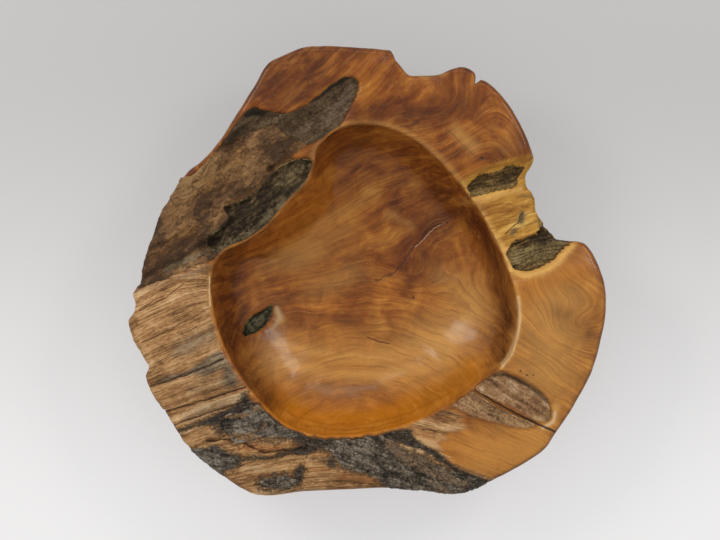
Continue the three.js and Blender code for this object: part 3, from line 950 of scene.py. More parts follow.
def add_node(
    tree: bpy.types.NodeTree, kind: str, inputs: dict | None = None, **settings: object
) -> bpy.types.Node:
    """Adds a node to a tree.

    Args:
        tree: The node tree.
        kind: The node's type name.
        inputs: Values or sockets for its inputs, by name or number.
        settings: Values for its own properties.

    Returns:
        The node.
    """
    made = tree.nodes.new(kind)
    for key, value in settings.items():
        setattr(made, key, value)
    for key, value in (inputs or {}).items():
        feed(tree, made.inputs[key], value)
    return made


class Shader:
    """A material's node tree, with short calls that add its nodes and join them."""

    def __init__(self, name: str) -> None:
        """Starts a material with its one surface shader.

        Args:
            name: The material's name.
        """
        self.material = bpy.data.materials.new(name)
        self.material.use_nodes = True
        self.tree = self.material.node_tree
        self.surface = self.tree.nodes["Principled BSDF"]

    def node(self, kind: str, inputs: dict | None = None, **settings: object) -> bpy.types.Node:
        """Adds a node, by its type name without the ShaderNode start."""
        return add_node(self.tree, f"ShaderNode{kind}", inputs, **settings)

    def set(self, **values: object) -> None:
        """Sets or links the surface's own inputs, named with _ for a space."""
        for name, value in values.items():
            feed(self.tree, self.surface.inputs[name.replace("_", " ")], value)

    def number(self, name: str) -> Socket:
        """The mesh's own number at each point."""
        return self.node("Attribute", attribute_name=name).outputs["Fac"]

    def vector(self, name: str) -> Socket:
        """The mesh's own vector at each point."""
        return self.node("Attribute", attribute_name=name).outputs["Vector"]

    def millimetres(self) -> Socket:
        """The piece's own coordinates, in millimetres."""
        return self.scale(self.node("TexCoord").outputs["Object"], 1 / MM)

    def vectors(self, operation: str, a: object, b: object) -> Socket:
        """A sum on two vectors."""
        return self.node("VectorMath", {0: a, 1: b}, operation=operation).outputs[0]

    def scale(self, vector: object, factor: object) -> Socket:
        """A vector times a number."""
        return self.node("VectorMath", {0: vector, "Scale": factor}, operation="SCALE").outputs[0]

    def stretch(self, vector: Socket, sizes: tuple[float, ...]) -> Socket:
        """Divides a vector by the sizes of a pattern along its three axes."""
        return self.vectors("MULTIPLY", vector, tuple(1 / size for size in sizes))

    def noise(
        self, vector: Socket, sizes: tuple[float, ...], detail: float, rough: float, twist: float = 0.0
    ) -> Socket:
        """Cloudy noise from 0 to 1, with swells of the sizes given along a vector's three axes."""
        inputs = {"Vector": self.stretch(vector, sizes), "Scale": 1.0, "Detail": detail}
        return self.node("TexNoise", inputs | {"Roughness": rough, "Distortion": twist}).outputs[0]

    def math(self, operation: str, a: object, b: object = 0.0) -> Socket:
        """A sum on one or two numbers."""
        return self.node("Math", {0: a, 1: b}, operation=operation).outputs[0]

    def times(self, a: object, b: object) -> Socket:
        """One number times another."""
        return self.math("MULTIPLY", a, b)

    def wander(self, place: Socket, size: float, detail: float) -> Socket:
        """Three cloudy numbers from 0 to 1 that shift a pattern about."""
        inputs = {"Vector": self.stretch(place, (size,) * 3), "Scale": 1.0, "Detail": detail}
        return self.node("TexNoise", inputs).outputs[1]

    def cell_borders(self, vector: Socket) -> Socket:
        """Distance from the borders of scattered cells, one for each unit of the vector."""
        inputs = {"Vector": vector, "Scale": 1.0}
        return self.node("TexVoronoi", inputs, feature="DISTANCE_TO_EDGE").outputs["Distance"]

    def total(self, parts: list[tuple[Socket, float]]) -> Socket:
        """Adds numbers that each swing about a half.

        Args:
            parts: Each number and its weight.

        Returns:
            The sum, which is a half when all of them are.
        """
        found: Socket | float = 0.5 - 0.5 * sum(weight for _, weight in parts)
        for value, weight in parts:
            found = self.node("Math", {0: value, 1: weight, 2: found}, operation="MULTIPLY_ADD").outputs[0]
        return found

    def span(self, value: Socket, low: float, high: float, start: float = 0.0, end: float = 1.0) -> Socket:
        """Carries the span from low to high over to start to end, smoothly and no further."""
        inputs = {"Value": value, "From Min": low, "From Max": high, "To Min": start, "To Max": end}
        return self.node("MapRange", inputs, interpolation_type="SMOOTHSTEP").outputs[0]

    def mix(self, share: object, a: object, b: object) -> Socket:
        """Mixes a share of the second colour into the first, of which either may be a hex code."""
        a, b = (srgb(colour) if isinstance(colour, str) else colour for colour in (a, b))
        return self.node("Mix", {0: share, 6: a, 7: b}, data_type="RGBA").outputs[2]

    def ramp(self, value: Socket, codes: tuple[str, ...]) -> Socket:
        """A run of colours, evenly spaced.

        Args:
            value: A number from 0 to 1.
            codes: Hex codes of the colours.

        Returns:
            The colour at the number.
        """
        made = self.node("ValToRGB", {"Fac": value})
        elements = made.color_ramp.elements
        while len(elements) < len(codes):
            elements.new(0.5)
        for i, code in enumerate(codes):
            elements[i].position = i / (len(codes) - 1)
            elements[i].color = srgb(code)
        return made.outputs[0]

    def line(self, place: Socket, points: Points, width: float) -> Socket:
        """1 on a line of straight runs drawn in plan, fading to 0 at its width.

        Args:
            place: Coordinates in millimetres.
            points: Plan points of the line.
            width: Half the width of the line, in millimetres.

        Returns:
            The line's mask.
        """
        flat = self.vectors("MULTIPLY", place, (1, 1, 0))
        nearest: Socket | None = None
        for (ax, ay), (bx, by) in zip(points, points[1:]):
            length = math.hypot(bx - ax, by - ay)
            way = ((bx - ax) / length, (by - ay) / length, 0.0)
            away = self.vectors("SUBTRACT", flat, (ax, ay, 0))
            dot = self.node("VectorMath", {0: away, 1: way}, operation="DOT_PRODUCT").outputs["Value"]
            kept = self.node("Clamp", {"Value": dot, "Min": 0.0, "Max": length}).outputs[0]
            run = self.scale(way, kept)
            gap = self.node("VectorMath", {0: away, 1: run}, operation="DISTANCE").outputs["Value"]
            nearest = gap if nearest is None else self.math("MINIMUM", nearest, gap)
        return self.span(nearest, 0.0, width, 1.0, 0.0)

    def bump(self, height: Socket, depth: float, before: Socket | None = None) -> Socket:
        """Bends the normal, by a depth in millimetres where height goes from 0 to 1."""
        inputs = {"Height": height, "Strength": 1.0, "Distance": depth * MM}
        return self.node("Bump", inputs | ({} if before is None else {"Normal": before})).outputs[0]


@dataclass(frozen=True)
class Crack:
    """A fine line in the wood: a check, a scratch, a vein, a bored hole, or a painted highlight along an
    edge.
    """

    points: Points
    width: float
    colour: str = "#2A160C"
    strength: float = 0.9
    waviness: float = 5.0
    cut: bool = True


# Fine lines that show in the wood, and painted highlights along the lip
CRACKS: list[Crack] = [
    Crack([(73, 45), (63, 40), (55, 31), (46, 22)], 0.7, "#D8B898", 0.55, 4.0, False),
    Crack([(76, 46), (62, 41), (54, 33), (46, 23), (38, 12), (31, 3), (22, -5), (8, -10)],
          1.3, "#3A1D12", 0.6, 8.0),
    Crack([(0, -64), (10, -68), (21, -70)], 0.9, "#3A1D12", 0.8, 3.0),
    Crack([(44, -25.8), (44, -26.2)], 1.6, "#241008", 0.9, 1.0),
    Crack([(-86, -37), (-83, -44), (-88, -52)], 4.5, "#B39878", 0.6, 6.0, False),
    Crack([(73, 133), (90, 117), (102, 105)], 0.7, "#4A2A14", 0.4, 3.0),
    Crack([(106.5, 105), (107.5, 105)], 2.2, "#2E180C", 0.9, 2.0),
    # Painted highlight on the left lip's bevel, partly a pale worn edge
    Crack([(-148, -6), (-148, -20), (-147, -33)], 0.9, "#E0D2B4", 0.6, 2.0, False),
    # Painted highlight along the right lip's rounding
    Crack([(140.5, -25), (142, -36), (142, -48), (140, -60), (136.5, -72), (131, -82), (126, -88.5)],
          2.8, "#EBD0A4", 0.42, 2.5, False),
    Crack([(-90, -122), (-70, -137), (-40, -145), (0, -145), (40, -134), (80, -114)],
          2.0, "#7A3F12", 0.3, 4.0, False),
    Crack([(-60, -146), (-30, -150), (4, -148), (34, -140)], 1.2, "#6E3710", 0.35, 4.0, False),
    Crack([(164, -147.5), (174, -142), (176, -133)], 3.0, "#E6C8A6", 0.5, 4.0, False),
    Crack([(107, 56), (117, 61), (133, 62), (139, 60)], 0.9, "#7A4A1C", 0.6, 5.0),
    Crack([(109, 50), (121, 54), (136, 56)], 0.9, "#7A4A1C", 0.6, 5.0),
    Crack([(112, 46), (126, 49), (139, 51)], 0.8, "#7A4A1C", 0.5, 5.0),
    Crack([(115, 39), (126, 42), (136, 45)], 0.9, "#7A4A1C", 0.6, 5.0),
    Crack([(121, 30), (132, 33), (146, 37)], 0.8, "#7A4A1C", 0.4, 5.0),
    Crack([(146, 54), (141, 45), (137, 41)], 0.9, "#2C2616", 0.9, 6.0),
    Crack([(137, 41), (131, 36), (128, 34)], 0.7, "#2C2616", 0.8, 6.0),
    Crack([(143, -94), (143.4, -94.2)], 1.3, "#2A160C", 1.0, 0.5),
    Crack([(149, -98), (149.4, -98)], 1.3, "#2A160C", 1.0, 0.5),
    Crack([(155, -98), (155.4, -98)], 1.0, "#2A160C", 0.9, 0.5),
    Crack([(-195, -134), (-150, -121), (-114, -109)], 1.1, "#20150C", 0.9, 3.0),
    Crack([(-206, -110), (-168, -97), (-135, -83)], 0.9, "#20150C", 0.85, 3.0),
    Crack([(-214, -38), (-190, -26), (-172, -12)], 0.8, "#2C1C10", 0.7, 3.0),
    Crack([(-212, -68), (-180, -53), (-152, -38)], 0.7, "#2C1C10", 0.6, 3.0),
    Crack([(-184, -146), (-146, -132), (-112, -122)], 0.9, "#20150C", 0.8, 3.0),
    Crack([(-150, -160), (-124, -158), (-96, -171), (-56, -166)], 1.0, "#1A120A", 0.85, 6.0),
    Crack([(101, -111.5), (117, -121.8), (139, -133.8), (160, -144.2), (179, -152.5)],
          1.9, "#1E120A", 1.0, 1.5),
]


class WoodPatterns:
    """Patterns that the colours and the surface of the wood share."""

    def __init__(self, s: Shader) -> None:
        """Adds the patterns to a material.

        Args:
            s: The material's node tree.
        """
        grain, place = s.vector("grain"), s.millimetres()
        self.grain, self.place = grain, place
        self.weathered, self.sapwood = s.number("weathered"), s.number("sapwood")
        self.ridge = s.number("relief")
        self.bands = s.noise(grain, (150, 10, 60), 4, 0.6, 0.6)
        self.lines = s.noise(grain, (60, 1.6, 30), 3, 0.6, 0.3)
        self.fibre = s.noise(grain, (12, 0.9, 8), 3, 0.65)
        self.cloud = s.noise(place, (26, 26, 26), 5, 0.6, 0.8)
        self.blotch = s.noise(grain, (50, 17, 30), 4, 0.62, 1.0)
        self.threads = s.noise(grain, (34, 1.4, 14), 5, 0.72, 0.25)
        self.chaff = s.noise(grain, (5, 1.2, 5), 4, 0.75)
        self.grit = s.noise(place, (2.6, 2.6, 2.6), 4, 0.7)
        self.checks = s.noise(grain, (55, 2.6, 20), 2, 0.5)
        self.wander = s.vectors("SUBTRACT", s.wander(place, 8, 3.0), (0.5, 0.5, 0.5))
        soot = [(s.number("soot"), 1.2), (self.grit, 1.3), (self.threads, 0.9), (self.cloud, 0.8)]
        self.soot = s.span(s.total(soot), 0.3, 0.8)
        lean = {"Vector": place, "Angle": -0.35}
        self.leaning = s.node("VectorRotate", lean, rotation_type="Z_AXIS").outputs[0]
        self.gouge = s.vectors("ADD", s.stretch(self.leaning, (44, 8, 30)), s.scale(self.wander, 0.5))
        self.scoops = s.node("TexVoronoi", {"Vector": self.gouge, "Scale": 1.0}).outputs


@dataclass(frozen=True)
class WoodFinish:
    """Oiled and polished root wood, with its weathered face and its pale sapwood."""

    polished: tuple[str, ...] = ("#481F0B", "#6C3613", "#8E501C", "#AD6D29", "#C89043")
    heart: str = "#482310"
    honey: str = "#BA7216"
    pale: str = "#D4A259"
    weathered: tuple[str, ...] = ("#4A321E", "#805A37", "#A67D52", "#C09769", "#DCBE95")
    grey: tuple[str, ...] = ("#3C3227", "#6B5C4A", "#94836B")
    rust: tuple[str, ...] = ("#74492A", "#A87446", "#C89C68")
    soot: tuple[str, ...] = ("#16120E", "#2E2720", "#4C4238", "#786C5D")
    check: str = "#26190E"
    sapwood: tuple[str, ...] = ("#744A1A", "#9C6C2A", "#B38338", "#CFA65A")
    sap_cut: str = "#6E4418"
    sap_pale: str = "#DDAB62"
    sap_rust: str = "#8A5526"
    sap_grey: tuple[str, ...] = ("#2E2A1C", "#6A6248")
    ring: float = 6.5
    ring_sway: float = 3.0
    gloss: float = 0.3
    raw_gloss: float = 0.6
    coat: float = 0.22
    raw_coat: float = 0.03
    coat_rough: float = 0.14
    specular: float = 0.14

    def polished_colour(self, s: Shader, p: WoodPatterns) -> Socket:
        """Colour of the polished wood.

        Args:
            s: The material's node tree.
            p: The wood's patterns.

        Returns:
            The colour.
        """
        parts = [(p.cloud, 0.7), (p.blotch, 0.65), (p.bands, 0.6), (p.lines, 0.25), (p.fibre, 0.2)]
        colour = s.ramp(s.span(s.total(parts), 0.05, 0.95), self.polished)
        # Pale wood, partly painted sheen and painted highlights along the lips
        colour = s.mix(s.times(s.number("pale"), 0.62), colour, self.pale)
        colour = s.mix(s.times(s.number("honey"), 0.7), colour, self.honey)
        colour = s.mix(s.span(p.lines, 0.46, 0.28, 0.0, 0.3), colour, self.pale)
        # Dark heartwood stains, with painted shade on the basin's walls, along the live edge and beside the
        # bark
        heart = s.times(s.number("heart"), s.span(p.blotch, 0.3, 0.6, 1.0, 0.6))
        colour = s.mix(heart, colour, self.heart)
        colour = s.mix(s.span(p.lines, 0.54, 0.74, 0.0, 0.36), colour, self.polished[0])
        colour = s.mix(s.span(p.fibre, 0.58, 0.8, 0.0, 0.3), colour, self.polished[0])
        layers = s.times(s.node("SeparateXYZ", {0: p.grain}).outputs["Y"], 1 / self.ring)
        rings = s.math("FRACT", s.math("ADD", layers, s.times(p.bands, self.ring_sway)))
        late = s.times(s.span(rings, 0.62, 0.93), s.span(rings, 1.0, 0.95))
        late = s.times(late, s.span(p.blotch, 0.4, 0.62, 0.06, 0.42))
        late = s.times(late, s.span(s.number("honey"), 0.2, 0.9, 1.0, 0.15))
        colour = s.mix(late, colour, self.polished[1])
        flecks = s.noise(p.grain, (5, 0.8, 4), 2, 0.6)
        colour = s.mix(s.span(flecks, 0.64, 0.74, 0.0, 0.45), colour, self.polished[0])
        return s.mix(s.span(flecks, 0.36, 0.26, 0.0, 0.3), colour, self.pale)

    def weathered_colour(self, s: Shader, p: WoodPatterns) -> Socket:
        """Colour of the weathered wood.

        Args:
            s: The material's node tree.
            p: The wood's patterns.

        Returns:
            The colour.
        """
        parts = [(p.ridge, 0.35), (p.threads, 1.0), (p.bands, 1.1), (p.chaff, 0.9), (p.cloud, 0.7)]
        tone = s.total(parts)
        middle = s.span(tone, 0.2, 0.8)
        colour = s.ramp(s.span(tone, 0.06, 0.94), self.weathered)
        grey = s.total([(s.number("grey"), 1.0), (p.threads, 1.4), (p.cloud, 0.6)])
        colour = s.mix(s.span(grey, 0.3, 0.95, 0.0, 0.9), colour, s.ramp(middle, self.grey))
        rust = s.total([(s.number("rust"), 1.0), (p.chaff, 0.8), (p.grit, 0.6)])
        colour = s.mix(s.span(rust, 0.3, 0.85, 0.0, 0.9), colour, s.ramp(middle, self.rust))
        colour = s.mix(s.span(p.checks, 0.33, 0.26, 0.0, 0.7), colour, self.check)
        soot_tone = s.span(s.total([(p.grit, 1.2), (p.chaff, 0.8)]), 0.15, 0.9)
        return s.mix(p.soot, colour, s.ramp(soot_tone, self.soot))

    def sapwood_colour(self, s: Shader, p: WoodPatterns) -> Socket:
        """Colour of the carved sapwood.

        Args:
            s: The material's node tree.
            p: The wood's patterns.

        Returns:
            The colour.
        """
        chips = s.noise(p.leaning, (22, 3.0, 12), 4, 0.65, 0.3)
        shade = s.node("SeparateXYZ", {0: p.scoops["Color"]}).outputs["X"]
        tone = s.total([(chips, 1.0), (shade, 0.3), (p.ridge, 0.4), (p.cloud, 0.4)])
        colour = s.ramp(s.span(tone, 0.08, 0.92), self.sapwood)
        cuts = s.span(s.cell_borders(p.gouge), 0.0, 0.1, 0.6, 0.0)
        colour = s.mix(s.times(cuts, s.span(p.cloud, 0.42, 0.6)), colour, self.sap_cut)
        colour = s.mix(s.times(s.number("pale"), 0.7), colour, self.sap_pale)
        colour = s.mix(s.times(s.number("rust"), 0.7), colour, self.sap_rust)
        return s.mix(s.number("grey"), colour, s.ramp(p.grit, self.sap_grey))

    @staticmethod
    def bumps(s: Shader, p: WoodPatterns, depth: Socket) -> Socket:
        """Fine detail of the surface that the mesh is too coarse for.

        Args:
            s: The material's node tree.
            p: The wood's patterns.
            depth: How deep the cracks are, from 0 to 1.

        Returns:
            The bent normal.
        """
        threads = s.total([(p.threads, 1.0), (p.chaff, 0.6)])
        normal = s.bump(s.times(threads, p.weathered), 0.7)
        normal = s.bump(s.times(p.grit, s.times(p.soot, p.weathered)), 1.2, normal)
        normal = s.bump(s.times(s.span(p.checks, 0.27, 0.34), p.weathered), 0.5, normal)
        normal = s.bump(s.times(p.scoops["Distance"], p.sapwood), 1.2, normal)
        normal = s.bump(s.total([(p.fibre, 0.6), (p.lines, 0.5)]), 0.05, normal)
        normal = s.bump(p.cloud, 0.5, normal)
        return s.bump(s.math("SUBTRACT", 1.0, depth), 0.6, normal)

    def material(self, cracks: list[Crack]) -> bpy.types.Material:
        """Builds the wood's material.

        Args:
            cracks: Fine lines drawn in the surface.

        Returns:
            The material.
        """
        s = Shader("polished_root_wood")
        p = WoodPatterns(s)
        rim = s.mix(p.weathered, self.polished_colour(s, p), self.weathered_colour(s, p))
        colour = s.mix(p.sapwood, rim, self.sapwood_colour(s, p))
        depth: Socket | float = 0.0
        for crack in cracks:
            shifted = s.vectors("ADD", p.place, s.scale(p.wander, crack.waviness))
            mask = s.times(s.line(shifted, crack.points, crack.width), crack.strength)
            colour = s.mix(mask, colour, crack.colour)
            if crack.cut:
                depth = s.math("MAXIMUM", depth, mask)
        raw = s.math("MAXIMUM", s.math("MAXIMUM", p.weathered, p.sapwood), s.number("bed"))
        rough = s.span(raw, 0.1, 0.9, self.gloss, self.raw_gloss)
        rough = s.math("ADD", rough, s.span(p.cloud, 0.35, 0.7, -0.05, 0.06))
        s.set(Base_Color=colour, Roughness=rough, Normal=self.bumps(s, p, depth))
        s.set(Coat_Weight=s.span(raw, 0.0, 1.0, self.coat, self.raw_coat), Coat_Roughness=self.coat_rough)
        s.set(Specular_IOR_Level=self.specular)
        return s.material


@dataclass(frozen=True)
class BarkFinish:
    """Sealed bark: colours from its crevices to its ridge tops, of its flakes and dust, and of painted shade
    in its hollows.
    """

    name: str
    tones: tuple[str, ...]
    flake: tuple[str, str]
    dust: tuple[str, str]
    rough: float = 0.5
    coat: float = 0.04
    specular: float = 0.12
    fibre: tuple[float, float, float] = (16.0, 1.5, 7.0)
    grit: float = 2.4
    streak: float = 1.0
    depth: float = 1.3
    crackle: float = 0.0
    plate: float = 8.0
    coat_rough: float = 0.2
    crevice_and_shade: tuple[str, str] = ("#0E0B07", "#2A2117")

    def material(self) -> bpy.types.Material:
        """Builds the bark's material.

        Returns:
            The material.
        """
        s = Shader(self.name)
        place, grain = s.millimetres(), s.vector("grain")
        fibre = s.noise(grain, self.fibre, 5, 0.7, 0.3)
        mottle = s.noise(place, (11, 11, 11), 5, 0.65, 0.5)
        grit = s.noise(place, (self.grit,) * 3, 4, 0.72)
        tone = s.total([(s.number("relief"), 0.9), (fibre, self.streak), (grit, 0.9), (mottle, 0.9)])
        tone = s.span(tone, 0.05, 0.95)
        colour = s.ramp(tone, self.tones)
        flake = s.span(s.total([(s.number("flake"), 1.0), (mottle, 1.4), (grit, 0.9)]), 0.35, 0.95)
        colour = s.mix(flake, colour, s.ramp(tone, self.flake))
        dust = s.span(s.total([(s.number("dust"), 1.0), (grit, 1.0), (fibre, 0.6)]), 0.42, 0.8)
        colour = s.mix(dust, colour, s.ramp(tone, self.dust))
        # Painted shade: near-black in clefts and along the fold's upper border, with dark bark in the pocket
        # and crust
        hollow = s.span(s.total([(s.number("hollow"), 1.0), (grit, 0.7), (fibre, 0.5)]), 0.3, 0.85)
        colour = s.mix(hollow, colour, s.mix(grit, *self.crevice_and_shade))
        plates = s.stretch(grain, (self.plate * 1.6, self.plate, self.plate))
        plates = s.vectors("ADD", plates, s.scale(s.wander(place, 6, 4.0), 1.3))
        seams = s.span(s.cell_borders(plates), 0.0, 0.11, 1.0, 0.0)
        seams = s.times(seams, s.span(mottle, 0.42, 0.6, 0.0, self.crackle))
        colour = s.mix(seams, colour, s.mix(0.5, self.tones[0], self.tones[1]))
        rough = s.span(grit, 0.25, 0.75, self.rough - 0.14, self.rough + 0.18)
        normal = s.bump(s.total([(fibre, self.streak)]), self.depth)
        normal = s.bump(grit, self.depth, normal)
        normal = s.bump(s.math("SUBTRACT", 1.0, seams), 0.9, normal)
        s.set(Base_Color=colour, Roughness=rough, Normal=normal)
        s.set(Coat_Weight=self.coat, Coat_Roughness=self.coat_rough, Specular_IOR_Level=self.specular)
        return s.material


def bark_finishes() -> dict[str, BarkFinish]:
    """The finishes of the bark and of the glints on it.

    Returns:
        Each finish by its name.
    """
    finishes = [
        BarkFinish("bark_flaky_brown", ("#453223", "#644931", "#775739", "#84623F", "#94744D"),
                   ("#563B22", "#90693D"), ("#54442F", "#89755A"), crackle=0.75),
        BarkFinish("bark_grey_fold", ("#1A130C", "#302318", "#423221", "#54422E", "#6C5A45"),
                   ("#3A2814", "#7A5C38"), ("#3A2E24", "#695541"), rough=0.46, streak=0.8,
                   depth=0.7, crackle=0.5),
        BarkFinish("bark_dark_pocket", ("#16110A", "#2C2215", "#413422", "#5A4932", "#786749"),
                   ("#4A3214", "#9A7846"), ("#4C412E", "#83745A"), rough=0.42, crackle=0.7, plate=6.0),
        BarkFinish("bark_dark_inset", ("#261C0F", "#45341D", "#5E4827", "#775D35", "#987E4E"),
                   ("#3E2A12", "#8A6A38"), ("#4A3A22", "#9C865A"), rough=0.46, streak=1.4),
        BarkFinish("bark_fibrous_strip", ("#4E3626", "#735338", "#8E6847", "#A4805B", "#C2A683"),
                   ("#5A381C", "#A87848"), ("#6E5032", "#C8A274"), rough=0.42, streak=0.75),
        BarkFinish("bark_black_crust", ("#1A1612", "#342D25", "#50463A", "#6F6455", "#9A8E7E"),
                   ("#574839", "#967D62"), ("#453D33", "#8E8372"), rough=0.38, coat=0.08, specular=0.16,
                   depth=1.7, crackle=0.8, plate=5.0),
        BarkFinish("bark_grey_crust", ("#1E1A16", "#383129", "#544B40", "#70665A", "#988E80"),
                   ("#513925", "#92704A"), ("#4E463B", "#968C7B"), rough=0.4, coat=0.06, specular=0.14,
                   depth=1.6, crackle=0.4, plate=5.0),
        BarkFinish("bark_knot_olive", ("#060604", "#13120A", "#232114", "#3B3721", "#625D44"),
                   ("#2E2A18", "#5A5434"), ("#3A3628", "#8E846C"), rough=0.34, coat=0.12),
        BarkFinish("crust_glints", ("#1A1713", "#332E27", "#554E44", "#7C7366", "#A89F90"),
                   ("#5A4026", "#A88358"), ("#6A6256", "#C8BFAF"), rough=0.3, coat=0.3, specular=0.5),
    ]
    return {finish.name: finish for finish in finishes}


class BarkStyle(Enum):
    """How a piece of bark has weathered."""

    FLAKY = "flaky"
    FOLDED = "folded"
    PITTED = "pitted"
    FIBROUS = "fibrous"
    GRANULAR = "granular"


# Clefts and holes in the bark: line, depth and width
BARK_CLEFTS: list[tuple[Points, float, float]] = [
    ([(-214, -6), (-196, 4), (-176, 12), (-158, 24), (-140, 30)], 2.6, 2.8),
    ([(-206, 20), (-186, 28), (-168, 40)], 1.4, 1.6),
    ([(-92, 97), (-91, 95)], 5.0, 3.2),
    ([(-82, 118), (-78, 110), (-84, 100)], 1.6, 1.6),
    ([(-150, 62), (-140, 58), (-130, 60)], 1.6, 1.5),
    ([(-140, 96), (-122, 108), (-104, 116)], 1.2, 1.5),
    ([(142, 12), (160, 18), (182, 26)], 0.7, 1.5),
    ([(138, 24), (150, 30), (166, 38)], 1.4, 1.2),
    ([(104, 78), (122, 82), (138, 90)], 0.7, 1.2),
    ([(-60, -152), (-20, -163), (20, -172), (60, -196)], 1.2, 1.6),
]


@dataclass
class BarkPlate:
    """One remnant of bark, seated in the rim or in the basin's wall."""

    node: str
    slot: str
    style: BarkStyle
    outline: Points
    within: Points | None = None
    without: list[Points] = field(default_factory=list)
    finish: str = "bark_flaky_brown"
    recess: float = 0.0
    ragged: float = 2.5
    in_basin: bool = False
    lean: float = 25.0
    seed: int = 1
    spacing: float = 0.85
    row_pitch: float = 0.87
    border_slack: float = 0.35
    thickness: float = 4.5
    lift: float = 0.25
    tuck: float = 1.1
    seam: float = 0.35
    height: float = 1.0

    def bed_gap(self, skin: Skin, plan: Array, beyond: Array) -> Array:
        """Distance inside the bed that this bark shares with its neighbours.

        Args:
            skin: The bowl's form.
            plan: Plan points.
            beyond: Distance of each point outside the basin's lip.

        Returns:
            One distance for each point, negative outside the bed.
        """
        gap = inside_distance(skin.wrapping(self.outline), plan) + self.ragged * ragged_edge(plan)
        return gap if self.in_basin else np.minimum(gap, beyond - skin.bare_lip(plan))

    def part_gap(self, skin: Skin, plan: Array) -> Array:
        """Distance inside this bark's own share of its bed.

        Args:
            skin: The bowl's form.
            plan: Plan points.

        Returns:
            One distance for each point, negative past the cracks that part it from its neighbours.
        """
        gap = np.full(len(plan), FAR)
        wander = self.ragged * ragged_edge(plan)
        if self.within:
            gap = np.minimum(gap, inside_distance(skin.wrapping(self.within), plan) + wander)
        for part in self.without:
            gap = np.minimum(gap, -inside_distance(skin.wrapping(part), plan) - wander)
        return gap

    def gaps(self, skin: Skin, plan: Array) -> tuple[Array, Array]:
        """Distances inside the bed and inside this bark's share of it."""
        return self.bed_gap(skin, plan, skin.beyond_lip(plan)), self.part_gap(skin, plan)

    def mesh_plan(self, skin: Skin) -> tuple[Array, Array]:
        """A net of small triangles over the outline, with its border drawn on to the outline.

        Args:
            skin: The bowl's form.

        Returns:
            Plan points and triangles.
        """
        outline = skin.wrapping(self.within or self.outline)
        low, high = outline.min(0) - 4, outline.max(0) + 4
        across = np.arange(low[0], high[0], self.spacing)
        up = np.arange(low[1], high[1], self.spacing * self.row_pitch)
        x, y = np.meshgrid(across, up)
        x = x + (np.arange(len(up)) % 2)[:, None] * self.spacing / 2
        plan = np.column_stack([x.ravel(), y.ravel()])
        gap = np.minimum(*self.gaps(skin, plan))
        number = np.arange(len(plan)).reshape(x.shape)
        a, b = number[:-1, :-1], number[:-1, 1:]
        c, d = number[1:, :-1], number[1:, 1:]
        even = (np.arange(len(up) - 1) % 2 == 0)[:, None]
        first = np.stack([a, b, np.where(even, c, d)], axis=-1)
        second = np.stack([np.where(even, b, a), d, c], axis=-1)
        faces = np.concatenate([first.reshape(-1, 3), second.reshape(-1, 3)])
        faces = faces[np.all(gap[faces] > -self.border_slack * self.spacing, axis=1)]
        faces = largest_island(faces)
        used, faces = np.unique(faces, return_inverse=True)
        faces = faces.reshape(-1, 3)
        plan = plan[used]
        border = np.unique(border_edges(faces))
        step = 0.2
        for _ in range(2):
            spots = plan[border]
            here, right, left, above, below = (
                np.minimum(*self.gaps(skin, spots + shift))
                for shift in ((0, 0), (step, 0), (-step, 0), (0, step), (0, -step))
            )
            slope = np.column_stack([right - left, above - below]) / (2 * step)
            steep = np.maximum((slope**2).sum(1), 0.25)
            plan[border] += np.clip(-slope * (here / steep)[:, None], -self.spacing, self.spacing)
        return plan, faces

    def relief(self, plan: Array) -> tuple[Array, dict[str, Array], Array]:
        """The bark's own surface.

        Args:
            plan: Plan points.

        Returns:
            Heights in millimetres, the numbers that its material reads, and its own coordinates.
        """
        along, across = turned(plan, self.lean)
        across = across + 2.5 * fractal(plan / 28.0, self.seed + 3)
        swell = fractal(plan / 24.0, self.seed)
        numbers = {name: np.minimum(total, 1.0) for name, total in tint_sums(BARK_TINTS, plan).items()}
        fine = streaks(along, across, (11.0, 3.2), self.seed + 9, keep=0.65)
        if self.style is BarkStyle.FLAKY:
            steps = 5.0 * streaks(along, across, (36.0, 20.0), self.seed + 5, 4)
            level = np.floor(steps)
            ledge = level + smoothstep(steps - level, 0.8, 0.99)
            rise = 0.9 * swell + 0.95 * ledge + 0.8 * fine
            numbers["flake"] = numbers["flake"] + 0.6 * smoothstep(steps - level, 0.55, 0.85) - 0.2
        elif self.style is BarkStyle.FOLDED:
            streak = streaks(along, across, (44.0, 5.0), self.seed + 5)
            rise = 1.1 * swell + 0.75 * streak + 0.3 * fine
        elif self.style is BarkStyle.PITTED:
            lumps, mark, _, _ = cell_noise(plan / 5.0, self.seed + 5)
            rise = 1.1 * swell + 1.2 * (0.5 - lumps) + 0.9 * fine
            numbers["dust"] = numbers["dust"] + 0.35 * smoothstep(mark, 0.75, 0.95)
        elif self.style is BarkStyle.FIBROUS:
            cord = streaks(along, across, (42.0, 5.0), self.seed + 5)
            rise = 0.7 * swell + 1.5 * cord + 0.5 * fine
            numbers["dust"] = numbers["dust"] + 0.2 * smoothstep(cord, 0.15, 0.6)
        else:
            grains, mark, _, _ = cell_noise(plan / 3.4, self.seed + 5)
            lumps, _, slab, _ = cell_noise(np.column_stack([along / 15.0, across / 7.0]), self.seed + 13)
            rise = 0.9 * swell + 1.2 * (0.6 - grains) + 0.9 * (0.5 - lumps) + 0.8 * slab + 0.4 * fine
            patches = streaks(along, across, (34.0, 9.0), self.seed + 17, 4)
            numbers["flake"] = numbers["flake"] + 0.75 * smoothstep(patches, 0.05, 0.45)
            numbers["dust"] = numbers["dust"] + 0.3 * smoothstep(mark, 0.72, 0.95)
        warped = plan + 1.5 * fractal(plan / 7.0, 71)[:, None]
        open_rise = rise
        for line, depth, width in BARK_CLEFTS:
            cleft = stroke(warped, line, width)
            rise = rise - depth * cleft
